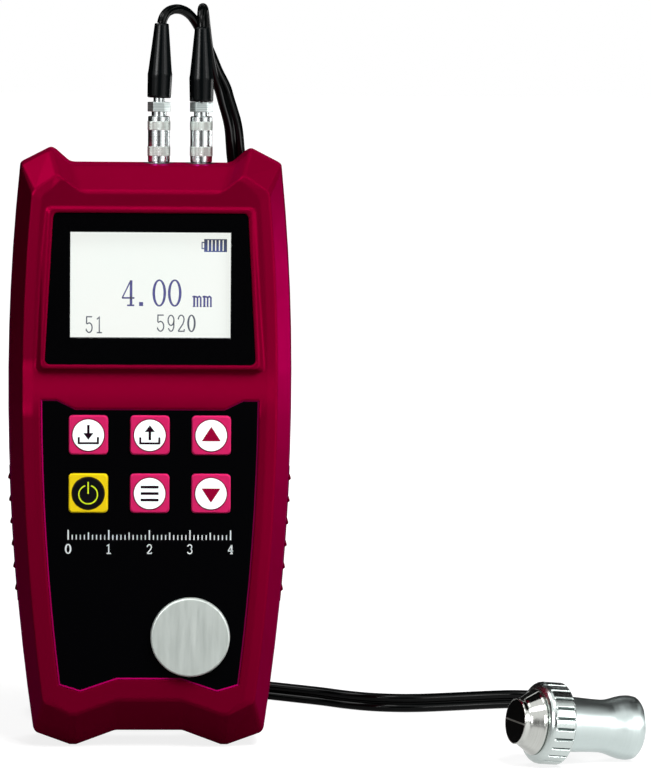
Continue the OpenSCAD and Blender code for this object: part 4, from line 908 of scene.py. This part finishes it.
def ribbon(path, widths, closed=False):
    """The left and right edge of a stroke along a path of (x, z) points, mitred at its corners."""
    points = [Vector(p) for p in path]
    if not hasattr(widths, "__len__"):
        widths = [widths] * len(points)
    ways = [(b - a).normalized() for a, b in zip(points, points[1:])]
    last_way = [(points[0] - points[-1]).normalized()] if closed else []
    before, after = (last_way or ways[:1]) + ways, ways + (last_way or ways[-1:])
    left, right = [], []
    for p, width, way_in, way_out in zip(points, widths, before, after):
        square = Vector((-way_in.y, way_in.x))
        out = (square + Vector((-way_out.y, way_out.x))).normalized()
        reach = width / 2 / max(MITRE_LIMIT, out.dot(square))
        left.append(p + out * reach)
        right.append(p - out * reach)
    return left, right, closed


def arc(cx, cz, rx, rz, start, end, count=24):
    """Points on an ellipse, from one angle to another, in degrees."""
    return [
        (cx + rx * cos(radians(start + (end - start) * i / count)),
         cz + rz * sin(radians(start + (end - start) * i / count)))
        for i in range(count + 1)
    ]


def flat_sign(name, strokes, fills, origin, layer, finish_name, body):
    """One thin piece from strokes and filled outlines, in millimetres from an origin (x, z).

    The layer is the Y of its front and its depth.
    """
    mesh = bmesh.new()
    levels = (layer[0], layer[0] + layer[1])

    def corners(path, y):
        return [mesh.verts.new(
            ((origin[0] + p[0]) * MM, y * MM, (origin[1] + p[1]) * MM)) for p in path]

    for left, right, closed in strokes:
        count = len(left)
        rows = [corners(edge, y) for edge in (left, right) for y in levels]
        for i in range(count if closed else count - 1):
            n = (i + 1) % count
            for a, b in ((0, 2), (2, 3), (3, 1), (1, 0)):
                mesh.faces.new((rows[a][i], rows[a][n], rows[b][n], rows[b][i]))
        if not closed:
            for i in (0, count - 1):
                mesh.faces.new((rows[0][i], rows[2][i], rows[3][i], rows[1][i]))
    for outline in fills:
        front, back = (corners(outline, y) for y in levels)
        mesh.faces.new(front)
        mesh.faces.new(back)
        joined(mesh, front, back)
    return belongs(as_object(name, mesh_data(name, mesh)), body, finish_name)


# %% [markdown]
# ## What the display shows
#
# The display is a dot-matrix panel behind the pane: a battery sign, a wall thickness of
# 4.00 mm in tall digits, a probe number and the speed of sound in metres a second. The
# crystals are dark navy and lie in the panel's surface, so the signs are only a few
# hundredths of a millimetre thick.

# %% Digits in a box one wide and one high, as strokes
THIN, ZERO_STEPS, ZERO_TURN, ZERO_END = 0.62, 46, 7.66, 352.5
# The zero is a loop that is thin at its top and its foot
zero_pen = [
    THIN + (1 - THIN) * abs(cos(radians(ZERO_TURN * i))) ** 1.5 for i in range(ZERO_STEPS + 1)]
# Each stroke has a path, its share of the pen's width and, for a loop, a third item
DIGITS = {
    "0": [(arc(0.5, 0.5, 0.5, 0.5, 0, ZERO_END, ZERO_STEPS), zero_pen, True)],
    "1": [([(0.1, 0.84), (0.5, 0.98), (0.5, 0.02)], THIN), ([(0.1, 0), (0.95, 0)], THIN)],
    "2": [([(0.06, 0.74), *arc(0.5, 0.74, 0.42, 0.26, 165, -20), (0.75, 0.46), (0.08, 0.03)], THIN),
          ([(0.04, 0.01), (0.92, 0.01), (0.98, 0.14)], THIN)],
    "3": [([(0.06, 0.8), *arc(0.46, 0.75, 0.42, 0.25, 150, -75)], THIN),
          ([*arc(0.46, 0.27, 0.46, 0.27, 80, -150), (0.02, 0.2)], THIN)],
    "4": [([(0.74, 0.99), (0.74, 0.02)], 1), ([(0.7, 0.97), (0.02, 0.3)], THIN * 0.8),
          ([(0, 0.3), (1.02, 0.3)], THIN), ([(0.42, 0.01), (1.0, 0.01)], THIN)],
    "5": [([(0.92, 1), (0.12, 1), (0.1, 0.56)], THIN),
          ([(0.1, 0.56), *arc(0.48, 0.31, 0.45, 0.3, 125, -160), (0.04, 0.13)], THIN)],
    "9": [(arc(0.48, 0.68, 0.42, 0.31, 0, 352, 40), THIN, True),
          ([(0.9, 0.68), *arc(0.48, 0.4, 0.42, 0.39, 10, -150)], THIN)],
}


def digit_strokes(digit, x, z, width, height, pen):
    """Strokes of a digit whose box has its lower left corner at (x, z)."""
    strokes = []
    for path, share, *closed in DIGITS[digit]:
        points = [(x + u * width, z + v * height) for u, v in path]
        pens = [pen * s for s in share] if share is zero_pen else pen * share
        strokes.append(ribbon(points, pens, bool(closed)))
    return strokes


def ink(name, first, second, gloss=0.1):
    moulded(name, first, second, 0.5, 0.6, specular_ior_level=gloss)


ink("ink_navy", (58, 54, 134), (46, 44, 116))
ink("ink_blue", (44, 68, 150), (36, 58, 138))
ink("ink_grey", (70, 76, 92), (58, 64, 80))
LIT_CORNER = (-LIT_HALF_WIDTH, LIT_CENTRE.z + LIT_HALF_HEIGHT)
INK_LAYER = (-13.73, 0.04)


def on_display(name, strokes, colour, fills=()):
    """A sign on the display, in millimetres from the upper left corner of its lit area."""
    return flat_sign(name, strokes, fills, LIT_CORNER, INK_LAYER, colour, MAIN_BODY)


def show(name, text, boxes, bottom, top, pen, colour):
    """Digits in boxes (left, right), between two depths under the lit area's upper edge."""
    strokes = []
    for digit, (left, right) in zip(text, boxes):
        strokes += digit_strokes(digit, left, -bottom, right - left, bottom - top, pen)
    return on_display(name, strokes, colour)


show("reading_digits", "400", [(12.7, 15.7), (20.5, 23.2), (24.3, 27.0)],
     18.2, 11.9, 0.66, "ink_navy")
on_display("reading_point", [], "ink_navy", [
    [(16.9, -18.3), (17.9, -18.3), (17.9, -17.3), (16.9, -17.3)]])
show("probe_digits", "51", [(3.85, 5.5), (6.4, 7.9)], 24.9, 21.0, 0.5, "ink_grey")
show("speed_digits", "5920", [(21.35, 23.1), (23.95, 25.65), (26.45, 28.1), (29.0, 30.6)],
     24.5, 20.5, 0.5, "ink_grey")

LETTER_LEFTS = (30.1, 32.6)
LETTER_STROKES = [
    ([(0.35, -15.9), (0.35, -18.3)], 0.5),
    ([(-0.1, -15.95), (0.35, -15.85), (0.9, -15.95), (1.15, -16.2), (1.15, -18.3)], 0.42),
    ([(1.15, -16.1), (1.6, -15.85), (1.95, -16.15), (1.95, -18.3)], 0.42),
    ([(0, -18.35), (0.7, -18.35)], 0.22), ([(0.9, -18.35), (1.4, -18.35)], 0.22),
    ([(1.7, -18.35), (2.2, -18.35)], 0.22),
]
on_display("unit_sign", [
    ribbon([(left + x, z) for x, z in path], width)
    for left in LETTER_LEFTS for path, width in LETTER_STROKES], "ink_navy")

# %% [markdown]
# ## The battery sign
#
# The sign is an outline with a nub and a row of equal bars. Bars in a row are the smallest
# case of repetition. An array modifier could make them, and a Geometry Nodes line with
# instances does it with the count and the pitch as inputs.

# %% A tree for a row of bars
bars_tree, bars_in, bars_end = new_tree("row_of_bars", [
    ("Count", WHOLE, 6), ("First", VECTOR, (0.0, 0.0, 0.0)), ("Pitch", VECTOR, (0.001, 0.0, 0.0)),
    ("Bar Size", VECTOR, (0.0004, 0.00004, 0.002))])
row = add(bars_tree, "GeometryNodeMeshLine", {
    "Count": bars_in["Count"], "Start Location": bars_in["First"], "Offset": bars_in["Pitch"]})
bar = add(bars_tree, "GeometryNodeMeshCube", {"Size": bars_in["Bar Size"]})
bars = add(bars_tree, "GeometryNodeInstanceOnPoints", {"Points": row, "Instance": bar})
finish_tree(bars_tree, bars_in, bars_end, bars)


def row_of_bars(name, count, pitch, first, size, finish_name):
    """Equal bars in a row along X, in millimetres, with the middle of the first at a point."""
    bars = bake(name, bars_tree, finish_name, {
        "Count": count, "First": tuple(Vector(first) * MM),
        "Pitch": (pitch * MM, 0.0, 0.0), "Bar Size": tuple(s * MM for s in size)})
    return belongs(bars, MAIN_BODY)


row_of_bars(
    "battery_bars", 6, 0.92,
    (LIT_CORNER[0] + 33.35, INK_LAYER[0] + INK_LAYER[1] / 2, LIT_CORNER[1] - 3.3),
    (0.66, INK_LAYER[1], 2.8), "ink_blue")
on_display("battery_outline", [
    ribbon([(32.95, -1.85), (38.3, -1.85), (38.3, -4.75), (32.95, -4.75)], 0.28, closed=True),
    ribbon([(32.9, -2.55), (32.3, -2.55), (32.3, -4.05), (32.9, -4.05)], 0.26)], "ink_blue")
print("display signs made")

# %% [markdown]
# ## Signs on the keys
#
# The six keys store a reading, recall one, step up and down, open the settings and switch
# the gauge on. Plain pictures say this in any language: an arrow into a tray, an arrow out
# of it, three bars, two triangles and a power sign. Each sign rides on its own key, so it
# goes down with the key.

# %% Draw the key signs
ink("sign_dark", (30, 4, 22), (20, 2, 14), 0.05)
ink("sign_crimson", (150, 0, 50), (138, 0, 44), 0.05)
ink("sign_lime", (214, 232, 40), (200, 222, 34), 0.05)
SIGN_LAYER = (-16.64, 0.04)
tray = ribbon([(-2.35, -0.5), (-2.35, -2.0), (2.35, -2.0), (2.35, -0.5)], 0.5)
power_loop = ribbon(arc(0, -0.3, 2.3, 2.3, 108, 432, 40), 0.32)
key_signs = {
    "key_store": ([tray, ribbon([(0, 2.5), (0, 0.4)], 0.62)],
                  [[(-1.25, 0.5), (1.25, 0.5), (0, -1.15)]], "sign_dark"),
    "key_recall": ([tray, ribbon([(0, 0.9), (0, -1.2)], 0.62)],
                   [[(-1.25, 0.85), (1.25, 0.85), (0, 2.5)]], "sign_dark"),
    "key_menu": ([ribbon([(-2.2, z), (2.2, z)], 0.64) for z in (1.6, 0, -1.6)], [], "sign_dark"),
    "key_up": ([], [[(-2.35, -1.4), (2.35, -1.4), (0, 2.2)]], "sign_crimson"),
    "key_down": ([], [[(-2.35, 1.3), (2.35, 1.3), (0, -2.25)]], "sign_crimson"),
    "key_power": ([power_loop, ribbon([(0, 2.85), (0, -0.1)], 0.36)], [], "sign_lime"),
}
for key, (strokes, fills, colour) in key_signs.items():
    flat_sign(key + "_sign", strokes, fills, KEY_CENTRES[key], SIGN_LAYER, colour, key)
print("signs on", len(key_signs), "keys")

# %% [markdown]
# ## Knurls on the plugs
#
# A release sleeve is gripped by two knurled bands. The CAD model has the bands with plain
# teeth, and here each band gets rows of small pyramids. A texture could fake them, but the
# plugs are the first thing that a close picture shows. Every second row is turned by half a
# step, which gives the diamond look of a real knurl.

# %% A tree for a knurled band
knurl_tree, knurl_in, knurl_end = new_tree("knurled_band", [
    ("Studs", WHOLE, 24), ("Rows", WHOLE, 4), ("Base", VECTOR, (0.0, 0.0, 0.0)),
    ("Row Step", FLOAT, 0.0005), ("Radius", FLOAT, 0.0027), ("Stud Width", FLOAT, 0.0003),
    ("Stud Height", FLOAT, 0.0001)])
row_offset = add(knurl_tree, "ShaderNodeCombineXYZ", {"Z": knurl_in["Row Step"]})
rows = add(knurl_tree, "GeometryNodeMeshLine", {
    "Count": knurl_in["Rows"], "Start Location": knurl_in["Base"], "Offset": row_offset})
row_ring = add(knurl_tree, "GeometryNodeMeshCircle", {
    "Vertices": knurl_in["Studs"], "Radius": knurl_in["Radius"]})
row_number = add(knurl_tree, "GeometryNodeInputIndex")
odd_row = solve(knurl_tree, "MODULO", row_number, 2.0)
half_step = solve(knurl_tree, "DIVIDE", pi, knurl_in["Studs"])
row_turn = add(knurl_tree, "ShaderNodeCombineXYZ", {
    "Z": solve(knurl_tree, "MULTIPLY", odd_row, half_step)})
rings = add(knurl_tree, "GeometryNodeInstanceOnPoints", {
    "Points": rows, "Instance": row_ring, "Rotation": row_turn})
seats = add(knurl_tree, "GeometryNodeRealizeInstances", {0: rings})
seat_place = add(knurl_tree, "GeometryNodeInputPosition")
outward = solve_vector(knurl_tree, "SUBTRACT", seat_place, knurl_in["Base"])
outward = solve_vector(knurl_tree, "MULTIPLY", outward, (1.0, 1.0, 0.0))
facing = add(knurl_tree, "FunctionNodeAlignRotationToVector", {"Vector": outward}, axis="Z")
stud = add(knurl_tree, "GeometryNodeMeshCone", {
    "Vertices": 4, "Radius Top": 0.0, "Radius Bottom": knurl_in["Stud Width"],
    "Depth": knurl_in["Stud Height"]})
studs = add(knurl_tree, "GeometryNodeInstanceOnPoints", {
    "Points": seats, "Instance": stud, "Rotation": facing})
finish_tree(knurl_tree, knurl_in, knurl_end, studs)

# %% Knurl both sleeves
SLEEVE_FOOT, SLEEVE_Y, SLEEVES = 145.25, -2.0, {"left": 1.9, "right": 12.4}
BANDS = {"low": (1.6, 2.3), "high": (8.0, 2.1)}
BAND_ROWS, BAND_STUDS, BAND_RADIUS, STUD_WIDTH, STUD_HEIGHT = 5, 34, 2.76, 0.34, 0.12
for side, x in SLEEVES.items():
    for band, (foot, height) in BANDS.items():
        row_step = height / BAND_ROWS
        first = Vector((x, SLEEVE_Y, SLEEVE_FOOT + foot + row_step / 2))
        knurl = bake(f"{band}_knurl_{side}", knurl_tree, "knurl_satin", {
            "Studs": BAND_STUDS, "Rows": BAND_ROWS, "Row Step": row_step * MM,
            "Radius": BAND_RADIUS * MM, "Base": tuple(first * MM), "Stud Width": STUD_WIDTH * MM,
            "Stud Height": STUD_HEIGHT * MM})
        belongs(knurl, f"release_sleeve_{side}")
print("studs on each band:", BAND_STUDS * BAND_ROWS)

# %% [markdown]
# ## Trim round the keypad and the display
#
# The black panel lies in a shallow recess whose edge slopes towards it. The slope is a third
# of a millimetre wide, too fine for the CAD model, and it draws the bright line at the left
# and along the foot of the panel, where it faces the lamp. Its colour is a lighter pink than
# the case, a painted highlight on that line. Behind the window a thin black frame closes the
# gap between the pane and the display, as the gasket of such a gauge does.

# %% The slope round the panel
CASE_HALF_WIDTH, BELLY, FOOT_DROP, PANEL_INSET = 35.2, 90.0, 6.9, 8.4
PANEL_TOP, PANEL_LOW, SIDE_STEPS = 87.205, 16.4, 8
SLOPE_WIDTH, CASE_Y, RECESS_Y = 0.34, -16.12, -15.89
# Corners of the dip in the panel's top and of its foot, from the middle and from that edge
DIP_CORNERS, FOOT_CORNERS = ((18.3, -2.2), (22.8, 0.0)), ((16.9, -1.6), (7.9, 1.5))


def closed_strip(name, rings, finish_name):
    """A thin piece round an opening: each ring of points is joined to the next, and round again."""
    mesh = bmesh.new()
    rows = [[mesh.verts.new(p) for p in in_metres(ring)] for ring in rings]
    for low, high in zip(rows, rows[1:] + rows[:1]):
        joined(mesh, low, high)
    return belongs(as_object(name, mesh_data(name, mesh)), MAIN_BODY, finish_name)


def panel_side(z):
    """Half width of the recess at a height."""
    return CASE_HALF_WIDTH - FOOT_DROP * max(0.0, (BELLY - z) / BELLY) ** 2 - PANEL_INSET


def panel_outline():
    """Corners of the recess, clockwise from the left end of its dip, as (x, z)."""
    heights = [PANEL_TOP + (PANEL_LOW - PANEL_TOP) * i / SIDE_STEPS for i in range(SIDE_STEPS + 1)]
    half = [(x, PANEL_TOP + z) for x, z in DIP_CORNERS]
    half += [(panel_side(z), z) for z in heights]
    half += [(x, PANEL_LOW + z) for x, z in FOOT_CORNERS]
    return half + [(-x, z) for x, z in reversed(half)]


middle = [Vector(p) for p in panel_outline()]
centre = sum(middle, Vector((0, 0))) / len(middle)
left, right, _ = ribbon(middle, 2 * SLOPE_WIDTH, closed=True)
near = [min(pair, key=lambda p: (p - centre).length) for pair in zip(left, right)]
# The slope catches the lamp, and its lighter pink finish adds a painted highlight
closed_strip("panel_edge", [
    [(p.x, y, p.y) for p in points]
    for points, y in ((middle, RECESS_Y), (middle, CASE_Y), (near, RECESS_Y))
], "edge_pink")

# %% The frame behind the window
GASKET_OUTER, GASKET_INNER, GASKET_FRONT, GASKET_BACK = (20.6, 13.9), (19.8, 13.1), -14.64, -13.75
closed_strip("display_gasket", [
    [(sx * half_w, y, LIT_CENTRE.z + sz * half_h)
     for sx, sz in ((1, 1), (1, -1), (-1, -1), (-1, 1))]
    for (half_w, half_h), y in (
        (GASKET_OUTER, GASKET_FRONT), (GASKET_INNER, GASKET_FRONT),
        (GASKET_INNER, GASKET_BACK), (GASKET_OUTER, GASKET_BACK))
], "black_plastic")

# %% [markdown]
# ## A plain rule on the panel
#
# Under the keys the panel carries a printed rule of forty millimetres with plain numbers. It
# is drawn with the same tree as the bars of the battery sign: one run of short ticks, and
# two runs of longer and slightly thicker ones over every fifth and every tenth tick.

# %% Print the rule
ink("print_white", (222, 227, 228), (208, 214, 216))
PANEL_Y, RULE_Z, NUMBER_LAYER, NUMBER_PITCH = -15.9, 52.6, (-15.94, 0.06), 10
NUMBER_WIDTH, NUMBER_HEIGHT, NUMBER_DROP, NUMBER_PEN = 1.2, 2.2, 3.4, 0.42
# Count, pitch, height, width and thickness of the ticks in each run
RUNS = {
    "fine_ticks": (41, 1.0, 1.2, 0.26, 0.06),
    "five_ticks": (9, 5.0, 1.8, 0.3, 0.09),
    "ten_ticks": (5, 10.0, 2.4, 0.34, 0.12),
}
for name, (count, pitch, height, width, thick) in RUNS.items():
    first = (-pitch * (count - 1) / 2, PANEL_Y, RULE_Z + height / 2)
    row_of_bars(name, count, pitch, first, (width, thick, height), "print_white")
for number in range(5):
    strokes = digit_strokes(
        str(number), -NUMBER_WIDTH / 2, -NUMBER_DROP, NUMBER_WIDTH, NUMBER_HEIGHT, NUMBER_PEN)
    flat_sign(f"rule_number_{number}", strokes, [], (NUMBER_PITCH * (number - 2), RULE_Z),
              NUMBER_LAYER, "print_white", MAIN_BODY)
print("ticks on the rule:", sum(run[0] for run in RUNS.values()))
